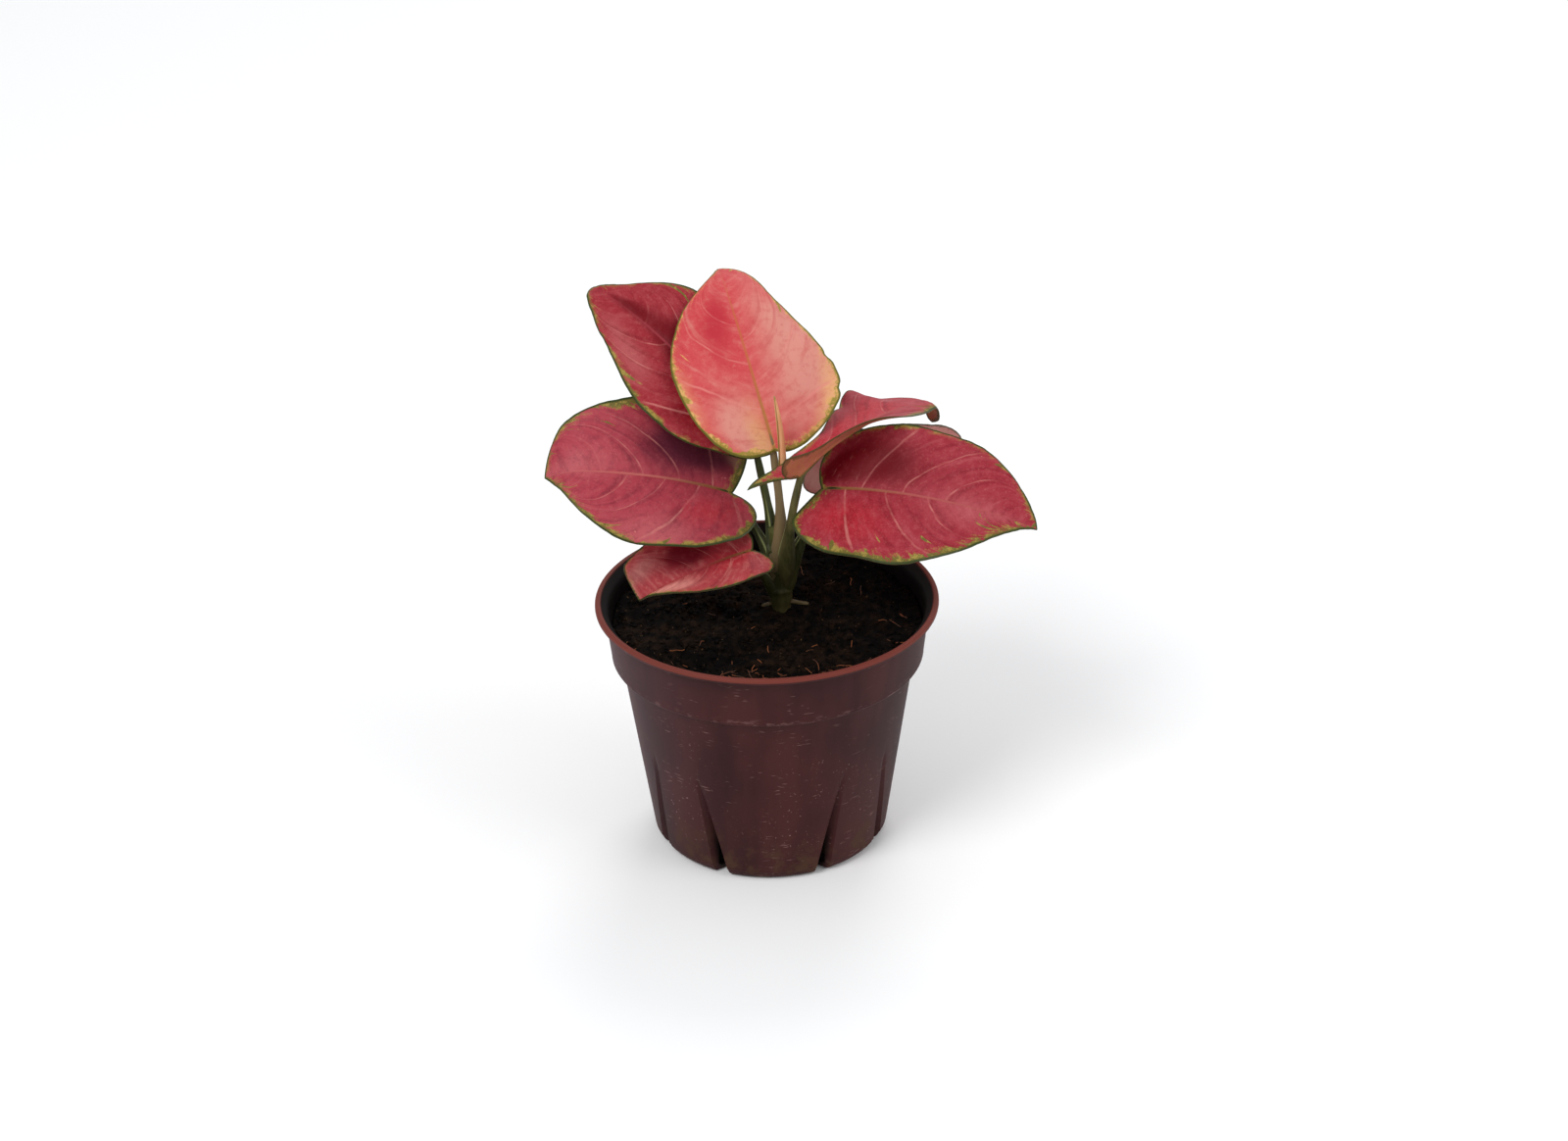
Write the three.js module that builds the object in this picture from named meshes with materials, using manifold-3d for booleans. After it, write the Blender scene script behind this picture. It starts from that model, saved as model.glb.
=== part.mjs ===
// Potted Chinese evergreen: a pleated nursery pot, its soil, a short stem and seven red leaves.
// Millimetres, +Z up. The origin is on the pot's axis, on the plane that the pot stands on.
// The front, from which the plant is seen, is -Y; +X is on the right.
import * as THREE from 'three';
import { mergeVertices } from 'three/addons/utils/BufferGeometryUtils.js';
import Module from 'manifold-3d';

const wasm = await Module();
wasm.setup();

// Clearance between pieces that touch on the real plant
const GAP = 0.3;

// Nursery pot: a narrow lip over a flared rim, a straight collar and a cone with eight pleats
const POT = {
  height: 81,
  wall: 1.2,
  lipRadius: 53.5,
  lipHeight: 2,
  collarTop: 50.6,
  collarFoot: 48.8,
  collarHeight: 16.5,
  bodyTop: 46,
  foot: 36.8,
  footRound: 3,
  floor: 1.6,
  sides: 64,
};
// A pleat is a V groove that starts as a narrow line and widens and deepens down to the foot.
// lean: how many degrees it is turned from its even place at the foot and at its top; each leans
// the other way than the one beside it. foldLine: share of the sides that form the groove.
const PLEATS = {
  count: 8,
  depth: 4.5,
  halfWidth: 2.6,
  topShare: 0.3,
  top: 38,
  lean: [3, 10],
  foldLine: 0.25,
};
const DRAIN = { width: 3.2, height: 9, lift: 0.4, reach: 6, sides: 12 };

// Potting soil: level below the rim, unevenness and the hole that the stem stands in
const SOIL = { level: 73, unevenness: 1.3, rings: 9, foot: POT.floor + GAP };

// Main stem, and the roots that show at its foot
const STEM = {
  x: 4.4,
  y: 7.5,
  foot: 62,
  top: 101,
  radius: 3.6,
  nodeSwell: 0.5,
  nodes: [80, 87, 94],
  sides: 20,
};
const ROOT_STUBS = [
  { heading: -15, length: 9, height: 75.6, rise: -2, radius: 0.9 },
  { heading: 200, length: 6.5, height: 75.2, rise: -3, radius: 0.8 },
  { heading: 80, length: 7, height: 75.4, rise: -4, radius: 0.8 },
];

// Leaf blades. base: where the petiole meets the blade. heading: 0 points to +X, 90 to the back.
// rise, roll: tilt of the blade at its base. arch, sway: how far the midrib bends down and sideways.
// hook: extra bend of the tip from the share hookAt of the length. fold: how far each half stands up
// from the midrib at the base, middle and tip. curl: how far a half rolls up towards its margin.
// taper: how much narrower the blade is towards its tip. lobe: how far its base reaches backwards.
// wave: height of the waved margin, number of waves, phase in turns. trim: how much wider the half
// is than its plain outline, at even steps round the margin from base to tip. petiole: height at which
// it leaves the stem, how far to +X its sheath stands, how much it leans to +X from there, and how far
// its end follows the blade's direction. Angles are in degrees.
const BLADE = { thickness: 0.7, keel: 0.9, rows: 18, cells: 5, midribSteps: 36 };
const LEAVES = {
  a: {
    base: [3.4, 4, 128.9], length: 72, width: 54, heading: 127, rise: 64, roll: -24,
    arch: 66, archBias: 0.3, sway: -8, hook: 20, hookAt: 0.86,
    petiole: { from: 83, shift: -1.6, lean: 0.36, follow: 0.5 },
    left: {
      half: 0.92, taper: 0.5, lobe: 0.03, fold: [6, 4, 0], curl: [-8, -50], wave: [0.8, 2.5, 0.3],
      trim: [1.1, 0.95, 0.93, 0.96, 0.8, 0.27, 0.2],
    },
    right: {
      half: 1, taper: 0.8, lobe: 0.07, fold: [8, 4, 0], curl: [-10, -70], wave: [0.8, 3, 0],
      trim: [0.5, 0.7, 1, 0.88, 0.8, 1.15, 1.3],
    },
  },
  b: {
    base: [-0.8, 13, 122.6], length: 80, width: 47, heading: 159, rise: 56, roll: -36,
    arch: 46, archBias: 0, sway: 6, hook: 40, hookAt: 0.9,
    petiole: { from: 81, shift: 0, lean: 0.06, follow: 0.5 },
    left: {
      half: 0.97, taper: 0.4, lobe: -0.03, fold: [5, 3, 0], curl: [-5, -5], wave: [0.8, 3, 0.2],
      trim: [0.7, 0.75, 0.92, 0.92, 0.8, 0.8, 1],
    },
    right: {
      half: 0.94, taper: 0.6, lobe: 0.07, fold: [5, 5, 5], curl: [-5, -5], wave: [0.8, 3, 0.1],
      trim: [1, 1, 1, 1, 1.05, 0.5, 0.3],
    },
  },
  c: {
    base: [-9.9, 17, 108.6], length: 63, width: 52, heading: 205, rise: 28, roll: -46,
    arch: 42, archBias: 0, sway: 0, hook: 40, hookAt: 0.75,
    petiole: { from: 76.5, shift: 0, lean: 0.1, follow: 2 },
    left: {
      half: 0.97, taper: 0.7, lobe: 0.23, fold: [10, 8, 5], curl: [0, 0], wave: [0.8, 3, 0.1],
      trim: [0.2, 0.42, 0.78, 1.04, 1.06, 0.6, 0.4],
    },
    right: {
      half: 1, taper: 0.6, lobe: 0.08, fold: [30, 18, 5], curl: [0, 0], wave: [0.5, 3, 0.4],
      trim: [1, 1, 1, 0.97, 1.17, 1.6, 1.9],
    },
  },
  d: {
    base: [17.3, 2, 117], length: 68.5, width: 52, heading: -20, rise: 9, roll: 35,
    arch: 28, archBias: 0, sway: -10, hook: 0, hookAt: 0.86,
    petiole: { from: 76.5, shift: 0, lean: 0, follow: 0.5 },
    left: {
      half: 0.9, taper: 0.6, lobe: 0.07, fold: [10, 8, 5], curl: [0, 0], wave: [0.8, 3, 0.2],
      trim: [0.86, 0.86, 0.94, 0.97, 1.07, 1.1, 1.1],
    },
    right: {
      half: 1.06, taper: 1.2, lobe: 0.18, fold: [10, 8, 5], curl: [0, 0], wave: [0.7, 3, 0.5],
      trim: [1.1, 0.78, 0.9, 1.02, 0.95, 0.58, 0.4],
    },
  },
  e: {
    base: [9.2, -8, 125.3], length: 71, width: 43, heading: 42.5, rise: 26, roll: 5,
    arch: 49, archBias: 0, sway: 0, hook: 115, hookAt: 0.86,
    petiole: { from: 80, shift: 0.8, lean: 0, follow: 0.5 },
    left: {
      half: 1, taper: 0.6, lobe: 0.27, fold: [12, -14, -10], curl: [0, 0], wave: [2.2, 4, 0.67],
      trim: [1.6, 1.1, 0.72, 0.52, 0.36, 0.31, 0.72, 1.1, 1.08, 0.75, 0.5, 1.4, 2.6],
    },
    right: {
      half: 1, taper: 0.6, lobe: 0.15, fold: [75, 30, -30], curl: [0, 0], wave: [1, 3, 0.2],
      trim: [0.7, 1, 0.38, 0.66, 0.45, 0.5, 2.6],
    },
  },
  f: {
    base: [-4.1, 5, 94.6], length: 39, width: 42, heading: 200, rise: -6, roll: -8,
    arch: 20, archBias: 0, sway: 0, hook: 0, hookAt: 0.86,
    petiole: { from: 76.5, shift: 0, lean: 0, follow: 0.5 },
    left: {
      half: 0.65, taper: 0.9, lobe: 0.18, fold: [0, 0, 0], curl: [0, 0], wave: [0.8, 2.5, 0],
      trim: [1, 1.1, 1.02, 0.9, 0.6, 0.25, 0.2],
    },
    right: {
      half: 1, taper: 0.1, lobe: 0.1, fold: [28, 36, 55], curl: [0, 0], wave: [0.8, 2.5, 0.5],
      trim: [0.6, 0.64, 0.7, 0.8, 0.8, 1.3, 2.8],
    },
  },
  g: {
    base: [16.3, 28, 102.2], length: 54, width: 42, heading: 37, rise: 15, roll: -54,
    arch: 24, archBias: 0, sway: 0, hook: 0, hookAt: 0.86,
    petiole: { from: 76.5, shift: 0, lean: 0, follow: 0.5 },
    left: {
      half: 1, taper: 0.6, lobe: 0.07, fold: [10, 10, 5], curl: [0, 0], wave: [0.8, 3, 0],
      trim: [1, 1],
    },
    right: {
      half: 1, taper: 0.6, lobe: 0.22, fold: [10, 10, 5], curl: [0, 0], wave: [0.8, 3, 0.5],
      trim: [1, 1.1, 1.3, 0.87, 0.88, 1, 1],
    },
  },
};

// Petioles: a broad sheath at the stem, narrowing to the blade
const PETIOLE = {
  foot: 2,
  footShare: 0.14,
  sheath: 2.8,
  sheathShare: 0.6,
  neck: 1.25,
  end: 1.05,
  sides: 8,
  rings: 11,
  reach: 2.5,
  under: 0.9,
};

// The rolled young leaf at the heart of the plant
const NEW_LEAF = {
  foot: [5.7, 2.6, 121.3],
  bow: [1.4, 0, 0],
  tip: [3.4, 0.2, 149.1],
  radius: 1.4,
  sides: 8,
  rings: 12,
};

const COLOURS = {
  pot: 0x4a2c2b,
  soil: 0x120d0a,
  stem: 0x3f4a22,
  leaf: 0xa94450,
  paleLeaf: 0xd37f7a,
  newLeaf: 0xd9a068,
};

const { clamp, degToRad: rad, lerp, smoothstep } = THREE.MathUtils;

// A unit vector: heading 0 points to +X, 90 to the back; rise is its angle above the level
function direction(heading, rise) {
  const [h, r] = [rad(heading), rad(rise)];
  return new THREE.Vector3(Math.cos(h) * Math.cos(r), Math.sin(h) * Math.cos(r), Math.sin(r));
}

function quadratic([start, middle, end], u) {
  return start * (1 - u) ** 2 + 2 * middle * u * (1 - u) + end * u ** 2;
}

function bare(geometry) {
  geometry.deleteAttribute('normal');
  geometry.deleteAttribute('uv');
  return mergeVertices(geometry, 1e-4);
}

function toSolid(geometry) {
  const merged = bare(geometry);
  const vertProperties = new Float32Array(merged.attributes.position.array);
  const triVerts = new Uint32Array(merged.index.array);
  return new wasm.Manifold(new wasm.Mesh({ numProp: 3, vertProperties, triVerts }));
}

function toGeometry(solid) {
  const { vertProperties, triVerts } = solid.getMesh();
  const geometry = new THREE.BufferGeometry();
  geometry.setAttribute('position', new THREE.BufferAttribute(vertProperties, 3));
  geometry.setIndex(new THREE.BufferAttribute(triVerts, 1));
  return geometry;
}

function largestBody(solid) {
  return solid.decompose().reduce((best, body) => (body.volume() > best.volume() ? body : best));
}

function moveVertices(geometry, move) {
  const position = geometry.attributes.position;
  const point = new THREE.Vector3();
  for (let i = 0; i < position.count; i += 1) {
    point.fromBufferAttribute(position, i);
    move(point);
    position.setXYZ(i, point.x, point.y, point.z);
  }
  return geometry;
}

// Pot

// A lathe turns about Y; this stands it on Z
function turned(profile, sides) {
  const points = profile.map(([radius, height]) => new THREE.Vector2(radius, height));
  return bare(new THREE.LatheGeometry(points, sides).rotateX(Math.PI / 2));
}

// Turn of the pleats round the axis at a height, for a place at that angle
function leanedAngle(angle, height) {
  const up = clamp(height / PLEATS.top, 0, 1);
  const lean = rad(lerp(PLEATS.lean[0], PLEATS.lean[1], up));
  return angle + lean * Math.sin((PLEATS.count / 2) * angle);
}

function pleated(geometry) {
  const spacing = (2 * Math.PI) / PLEATS.count;
  const { foldLine } = PLEATS;
  return moveVertices(geometry, (point) => {
    const radius = Math.hypot(point.x, point.y);
    if (radius < POT.foot / 2) return;
    const turn = Math.atan2(point.y, point.x) / spacing;
    const pleat = Math.floor(turn + 1e-6) + 0.5;
    const share = Math.abs(2 * (turn - pleat));
    const down = clamp(1 - point.z / PLEATS.top, 0, 1);
    const half = (PLEATS.halfWidth / POT.foot) * lerp(PLEATS.topShare, 1, down);
    const inside = Math.min(share / foldLine, 1);
    const outside = Math.max((share - foldLine) / (1 - foldLine), 0);
    const offset = inside * half + outside * (spacing / 2 - half);
    const angle = leanedAngle(pleat * spacing + Math.sign(turn - pleat) * offset, point.z);
    const dented = radius - PLEATS.depth * down * (1 - inside);
    point.set(dented * Math.cos(angle), dented * Math.sin(angle), point.z);
  });
}

const COLLAR_FOOT_HEIGHT = POT.height - POT.lipHeight - POT.collarHeight;

function bodyRadius(height) {
  return lerp(POT.foot, POT.bodyTop, height / COLLAR_FOOT_HEIGHT);
}

// Rings of the cone, close enough that the pleats in the pot and in the soil stay parallel
function bodyHeights() {
  const spans = 4;
  const rise = (PLEATS.top - POT.footRound) / spans;
  return [...Array(spans + 1).keys()].map((i) => POT.footRound + i * rise).concat(COLLAR_FOOT_HEIGHT - 1);
}

function potGeometry() {
  const { wall, height, lipRadius, lipHeight, footRound: round, floor } = POT;
  const collarTop = height - lipHeight;
  const outside = [
    [0, 0],
    [POT.foot - round - PLEATS.depth, 0],
    [POT.foot - round, 0],
    [bodyRadius(0) - round * 0.3, round * 0.3],
    ...bodyHeights().map((z) => [bodyRadius(z), z]),
    [POT.collarFoot, COLLAR_FOOT_HEIGHT],
    [POT.collarTop, collarTop - 0.6],
    [lipRadius - 0.5, collarTop],
    [lipRadius, collarTop + 0.6],
    [lipRadius - 0.3, height - 0.4],
    [lipRadius - 0.9, height],
    [lipRadius - 1.5, height],
  ];
  const inside = [
    [lipRadius - 2.1, height - 0.5],
    [POT.collarTop - 0.4, height - 1.6],
    [POT.collarTop - wall + 0.1, collarTop - 0.6],
    [POT.collarFoot - wall, COLLAR_FOOT_HEIGHT + 1],
    ...bodyHeights().reverse().map((z) => [bodyRadius(z) - wall, z]),
    [POT.foot - round - 0.2, floor],
    [POT.foot - round - PLEATS.depth - wall, floor],
    [0, floor],
  ];
  const shell = toSolid(pleated(turned([...outside, ...inside], POT.sides)));
  return toGeometry(drainSlots().reduce((pot, slot) => pot.subtract(slot), shell));
}

function drainSlots() {
  const { width, height, lift, reach, sides } = DRAIN;
  const middle = POT.floor + lift + height / 2;
  return Array.from({ length: PLEATS.count }, (_, i) => {
    const slot = new THREE.CylinderGeometry(width / 2, width / 2, reach, sides);
    slot.rotateZ(Math.PI / 2).scale(1, 1, height / width);
    slot.translate(POT.foot - PLEATS.depth, 0, middle);
    return toSolid(slot.rotateZ(leanedAngle(((i + 0.5) * 2 * Math.PI) / PLEATS.count, middle)));
  });
}

// Soil

function soilHeight(x, y) {
  const coarse = Math.sin(0.19 * x + 1.3) * Math.cos(0.23 * y - 0.4);
  const medium = Math.sin(0.43 * x - 0.7 * y + 0.5) * Math.sin(0.39 * y + 0.31 * x);
  const fine = Math.sin(1.1 * x + 2) * Math.cos(0.9 * y + 1);
  const nearStem = Math.hypot(x - STEM.x, y - STEM.y);
  const free = smoothstep(nearStem, 1.5 * STEM.radius, 4 * STEM.radius);
  return SOIL.level + free * SOIL.unevenness * (0.55 * coarse + 0.4 * medium + 0.25 * fine);
}

function soilGeometry() {
  const inner = (z) => bodyRadius(z) - POT.wall - 2.5 * GAP;
  const collarInner = (z) => {
    const share = (z - COLLAR_FOOT_HEIGHT) / POT.collarHeight;
    return lerp(POT.collarFoot, POT.collarTop, share) - POT.wall - 2 * GAP;
  };
  const side = [
    [0, SOIL.foot],
    [POT.foot - POT.footRound - PLEATS.depth - POT.wall - 2 * GAP, SOIL.foot],
    [POT.foot - POT.footRound - 3 * GAP, SOIL.foot],
    ...bodyHeights().map((z) => [inner(z), z]),
    [collarInner(COLLAR_FOOT_HEIGHT + 1), COLLAR_FOOT_HEIGHT + 1.2],
    [collarInner(SOIL.level) - 0.4, SOIL.level],
  ];
  const edge = side.at(-1)[0];
  const top = Array.from({ length: SOIL.rings }, (_, i) => [edge * (1 - (i + 1) / SOIL.rings), SOIL.level]);
  const block = pleated(turned([...side, ...top], POT.sides));
  moveVertices(block, (point) => {
    if (point.z > SOIL.level - 0.01) point.z = soilHeight(point.x, point.y);
  });
  const holeRadius = STEM.radius + GAP;
  const holeDepth = 30;
  const hole = new THREE.CylinderGeometry(holeRadius, holeRadius, holeDepth, STEM.sides);
  hole.rotateX(Math.PI / 2).translate(STEM.x, STEM.y, STEM.foot - GAP + holeDepth / 2);
  return toGeometry(toSolid(block).subtract(toSolid(hole)));
}

// Leaves

// Points and directions along the midrib: along the leaf, to its right side, and out of its upper face
function midribFrames(leaf) {
  const along = direction(leaf.heading, leaf.rise);
  const up = direction(leaf.heading, leaf.rise + 90);
  up.applyAxisAngle(along, rad(leaf.roll));
  const point = new THREE.Vector3(...leaf.base);
  const frames = [{ point: point.clone(), along: along.clone(), up: up.clone() }];
  const steps = BLADE.midribSteps;
  for (let i = 0; i < steps; i += 1) {
    const u = (i + 0.5) / steps;
    point.addScaledVector(along, leaf.length / steps);
    const hook = u > leaf.hookAt ? leaf.hook / (1 - leaf.hookAt) : 0;
    const down = rad(leaf.arch * (1 + leaf.archBias * (2 * u - 1)) + hook) / steps;
    const right = along.clone().cross(up);
    along.applyAxisAngle(right, -down);
    up.applyAxisAngle(right, -down);
    along.applyAxisAngle(up, rad(leaf.sway) / steps);
    frames.push({ point: point.clone(), along: along.clone(), up: up.clone() });
  }
  return frames;
}

function frameAt(frames, share) {
  const place = clamp(share, 0, 1) * (frames.length - 1);
  const index = Math.min(Math.floor(place), frames.length - 2);
  const mix = (key) => frames[index][key].clone().lerp(frames[index + 1][key], place - index);
  const along = mix('along');
  const up = mix('up');
  return { point: mix('point'), along, up, right: along.clone().cross(up) };
}

// Margin of the flat blade at theta, from 0 at the base to pi at the tip: distance along and across
function marginPoint(leaf, side, theta) {
  const width = (angle) => Math.sin(angle) * Math.cos(angle / 2) ** side.taper;
  const widest = Math.acos(side.taper / (2 + side.taper));
  const lobe = leaf.length * side.lobe * Math.sin(2 * Math.min(theta, Math.PI / 2));
  const trim = new THREE.SplineCurve(side.trim.map((share, step) => new THREE.Vector2(step, share)));
  const half = (leaf.width / 2) * side.half * trim.getPoint(theta / Math.PI).y;
  return {
    along: (leaf.length * (1 - Math.cos(theta))) / 2 - lobe,
    across: (half * width(theta)) / width(widest),
  };
}

// Bends a point of the flat blade into place; sign is -1 on the left half and 1 on the right
function bladePoint(leaf, frames, sign, along, across) {
  const side = sign < 0 ? leaf.left : leaf.right;
  const halfWidth = leaf.width / 2;
  const u = clamp(along / leaf.length, 0, 1);
  const t = across / halfWidth;
  const fold = rad(quadratic(side.fold, u));
  const curl = rad(lerp(side.curl[0], side.curl[1], u)) || 0.001;
  const outward = (halfWidth * (Math.sin(fold + curl * t) - Math.sin(fold))) / curl;
  const [waveHeight, waves, phase] = side.wave;
  const wave = waveHeight * t ** 2 * Math.sin(2 * Math.PI * ((waves * along) / leaf.length + phase));
  const upward = (halfWidth * (Math.cos(fold) - Math.cos(fold + curl * t))) / curl + wave;
  const frame = frameAt(frames, along / leaf.length);
  const point = frame.point.clone().addScaledVector(frame.along, Math.min(0, along));
  return point.addScaledVector(frame.right, sign * outward).addScaledVector(frame.up, upward);
}

// Rows run from the midrib out to both margins and close in one point at the base and at the tip
function bladeSurface(leaf) {
  const frames = midribFrames(leaf);
  const { rows, cells } = BLADE;
  const points = [];
  const keel = [];
  const add = (point, share) => {
    keel.push(share);
    return points.push(point) - 1;
  };
  const grid = [];
  for (let i = 0; i <= rows; i += 1) {
    const theta = (Math.PI * i) / rows;
    const onMidrib = (leaf.length * (1 - Math.cos(theta))) / 2;
    const keelShare = i === 0 ? 0.3 : 1 - 0.7 * (i / rows);
    const centre = add(bladePoint(leaf, frames, 1, onMidrib, 0), keelShare);
    const row = Array(2 * cells + 1).fill(centre);
    if (i > 0 && i < rows) {
      for (const sign of [-1, 1]) {
        const margin = marginPoint(leaf, sign < 0 ? leaf.left : leaf.right, theta);
        for (let j = 1; j <= cells; j += 1) {
          const v = j / cells;
          const along = lerp(onMidrib, margin.along, v);
          row[cells + sign * j] = add(bladePoint(leaf, frames, sign, along, margin.across * v), 0);
        }
      }
    }
    grid.push(row);
  }
  return { points, keel, grid };
}

function surfaceTriangles(grid) {
  const triangles = [];
  const push = (a, b, c) => {
    if (a !== b && b !== c && a !== c) triangles.push([a, b, c]);
  };
  for (let i = 0; i + 1 < grid.length; i += 1) {
    for (let j = 0; j + 1 < grid[i].length; j += 1) {
      const [a, b, c, d] = [grid[i][j], grid[i][j + 1], grid[i + 1][j + 1], grid[i + 1][j]];
      push(a, b, c);
      push(a, c, d);
    }
  }
  return triangles;
}

function vertexNormals(points, triangles) {
  const normals = points.map(() => new THREE.Vector3());
  for (const [a, b, c] of triangles) {
    const normal = points[b].clone().sub(points[a]).cross(points[c].clone().sub(points[a]));
    for (const index of [a, b, c]) normals[index].add(normal);
  }
  return normals.map((normal) => normal.normalize());
}

// Both faces are the same surface moved out along its normals, so they are split alike
function bladeGeometry(leaf, thickness = BLADE.thickness) {
  const { points, keel, grid } = bladeSurface(leaf);
  const triangles = surfaceTriangles(grid);
  const normals = vertexNormals(points, triangles);
  const facesUp = normals[grid[4][1]].dot(frameAt(midribFrames(leaf), 0.2).up) > 0 ? 1 : -1;
  const top = points.map((p, i) => p.clone().addScaledVector(normals[i], (facesUp * thickness) / 2));
  const bottom = points.map((p, i) => {
    const depth = thickness / 2 + BLADE.keel * keel[i];
    return p.clone().addScaledVector(normals[i], -facesUp * depth);
  });
  const count = points.length;
  const faces = [];
  for (const [a, b, c] of triangles) {
    faces.push(facesUp > 0 ? [a, b, c] : [a, c, b]);
    faces.push(facesUp > 0 ? [a + count, c + count, b + count] : [a + count, b + count, c + count]);
  }
  const last = grid[0].length - 1;
  for (let i = 0; i + 1 < grid.length; i += 1) {
    for (const [a, b] of [[grid[i + 1][0], grid[i][0]], [grid[i][last], grid[i + 1][last]]]) {
      const [p, q] = facesUp > 0 ? [b, a] : [a, b];
      faces.push([p, q, q + count], [p, q + count, p + count]);
    }
  }
  const geometry = new THREE.BufferGeometry();
  const coordinates = [...top, ...bottom].flatMap((p) => p.toArray());
  geometry.setAttribute('position', new THREE.Float32BufferAttribute(coordinates, 3));
  geometry.setIndex(faces.flat());
  return geometry;
}

// The blade with the clearance around it that its petiole is cut back to
function bladeClearance(leaf) {
  const frame = midribFrames(leaf)[0];
  const base = frame.point.clone().addScaledVector(frame.along, -2 * GAP).toArray();
  const larger = { ...leaf, base, length: leaf.length + 3 * GAP, width: leaf.width + 3 * GAP };
  return toSolid(bladeGeometry(larger, BLADE.thickness + 2.4 * GAP));
}

// Stem and petioles

// A closed cylinder bent along a curve
function taperedTube(curve, radiusAt, sides, rings) {
  const frames = curve.computeFrenetFrames(rings);
  const tube = bare(new THREE.CylinderGeometry(1, 1, rings, sides, rings));
  return moveVertices(tube, (point) => {
    const ring = Math.round(point.y + rings / 2);
    const radius = radiusAt(ring / rings);
    const centre = curve.getPointAt(ring / rings);
    const [x, z] = [point.x * radius, point.z * radius];
    point.copy(centre).addScaledVector(frames.binormals[ring], x).addScaledVector(frames.normals[ring], z);
  });
}

function petioleCurve(leaf) {
  const { point, along, up } = midribFrames(leaf)[0];
  const end = point.clone().addScaledVector(along, PETIOLE.reach).addScaledVector(up, -PETIOLE.under);
  const { from, shift, lean, follow } = leaf.petiole;
  const start = new THREE.Vector3(STEM.x, STEM.y, from);
  const outward = end.clone().sub(start).setZ(0).normalize();
  start.addScaledVector(outward, 1);
  start.x += shift;
  const reach = start.distanceTo(end);
  const upright = new THREE.Vector3(0, 0, 1);
  const arriving = along.clone().multiplyScalar(follow).add(upright).normalize();
  const leaving = outward.multiplyScalar(0.15).add(upright).add(new THREE.Vector3(lean, 0, 0)).normalize();
  return new THREE.CubicBezierCurve3(
    start,
    start.clone().addScaledVector(leaving, reach * 0.4),
    end.clone().addScaledVector(arriving, -reach * 0.3),
    end,
  );
}

function petioleSolid(leaf) {
  const radiusAt = (s) => {
    const opened = lerp(PETIOLE.foot, PETIOLE.sheath, smoothstep(s, 0, PETIOLE.footShare));
    const narrowed = lerp(opened, PETIOLE.neck, smoothstep(s, PETIOLE.footShare, PETIOLE.sheathShare));
    return lerp(narrowed, PETIOLE.end, smoothstep(s, 0.8, 1));
  };
  return toSolid(taperedTube(petioleCurve(leaf), radiusAt, PETIOLE.sides, PETIOLE.rings));
}

function stemSolid() {
  const { foot, top, radius, nodes, nodeSwell } = STEM;
  const heights = [foot, foot + 1.5, ...nodes.flatMap((z) => [z - 1, z, z + 1]), top - 3, top];
  const profile = heights.map((z) => {
    const atEnd = z === foot || z === top;
    const swell = nodes.includes(z) ? nodeSwell : 0;
    return [atEnd ? radius * 0.6 : radius + swell - (z < SOIL.level + 2 ? 0.4 : 0), z];
  });
  const column = turned([[0, foot], ...profile, [0, top]], STEM.sides);
  return toSolid(column.translate(STEM.x, STEM.y, 0));
}

function rootStub(root) {
  const { heading, rise, length, radius, height } = root;
  const start = new THREE.Vector3(STEM.x, STEM.y, height);
  const curve = new THREE.LineCurve3(start, start.clone().addScaledVector(direction(heading, rise), length));
  return toSolid(taperedTube(curve, (s) => radius * (1 - 0.45 * s), 8, 3));
}

function newLeafSolid(extra = 0) {
  const foot = new THREE.Vector3(...NEW_LEAF.foot);
  const tip = new THREE.Vector3(...NEW_LEAF.tip);
  const middle = foot.clone().lerp(tip, 0.5).add(new THREE.Vector3(...NEW_LEAF.bow));
  const curve = new THREE.QuadraticBezierCurve3(foot, middle, tip);
  const radiusAt = (s) => NEW_LEAF.radius * (1 - 0.25 * s) * Math.sqrt(1.02 - s ** 3) + extra;
  return toSolid(taperedTube(curve, radiusAt, NEW_LEAF.sides, NEW_LEAF.rings));
}

function stemGeometry() {
  const leaves = Object.values(LEAVES);
  let solid = stemSolid();
  for (const piece of [...leaves.map(petioleSolid), ...ROOT_STUBS.map(rootStub)]) solid = solid.add(piece);
  for (const cut of [...leaves.map(bladeClearance), newLeafSolid(GAP)]) solid = solid.subtract(cut);
  return toGeometry(largestBody(solid));
}

// The assembly

const plant = new THREE.Group();

function addPiece(name, geometry, colour, roughness) {
  const material = new THREE.MeshStandardMaterial({ color: colour, roughness, metalness: 0 });
  const mesh = new THREE.Mesh(geometry, material);
  mesh.name = name;
  plant.add(mesh);
}

addPiece('pot', potGeometry(), COLOURS.pot, 0.5);
addPiece('soil', soilGeometry(), COLOURS.soil, 0.95);
addPiece('stem', stemGeometry(), COLOURS.stem, 0.6);
for (const [letter, leaf] of Object.entries(LEAVES)) {
  addPiece(`leaf_${letter}`, bladeGeometry(leaf), letter === 'a' ? COLOURS.paleLeaf : COLOURS.leaf, 0.45);
}
addPiece('new_leaf', toGeometry(newLeafSolid()), COLOURS.newLeaf, 0.5);

export default plant;
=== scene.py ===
"""A potted Chinese evergreen with red leaves, built in fine detail round its packed CAD part.

Lengths in the tables are in millimetres, and those of the camera and lamps in metres. The front,
from which the plant is seen, is -Y.
"""

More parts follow.
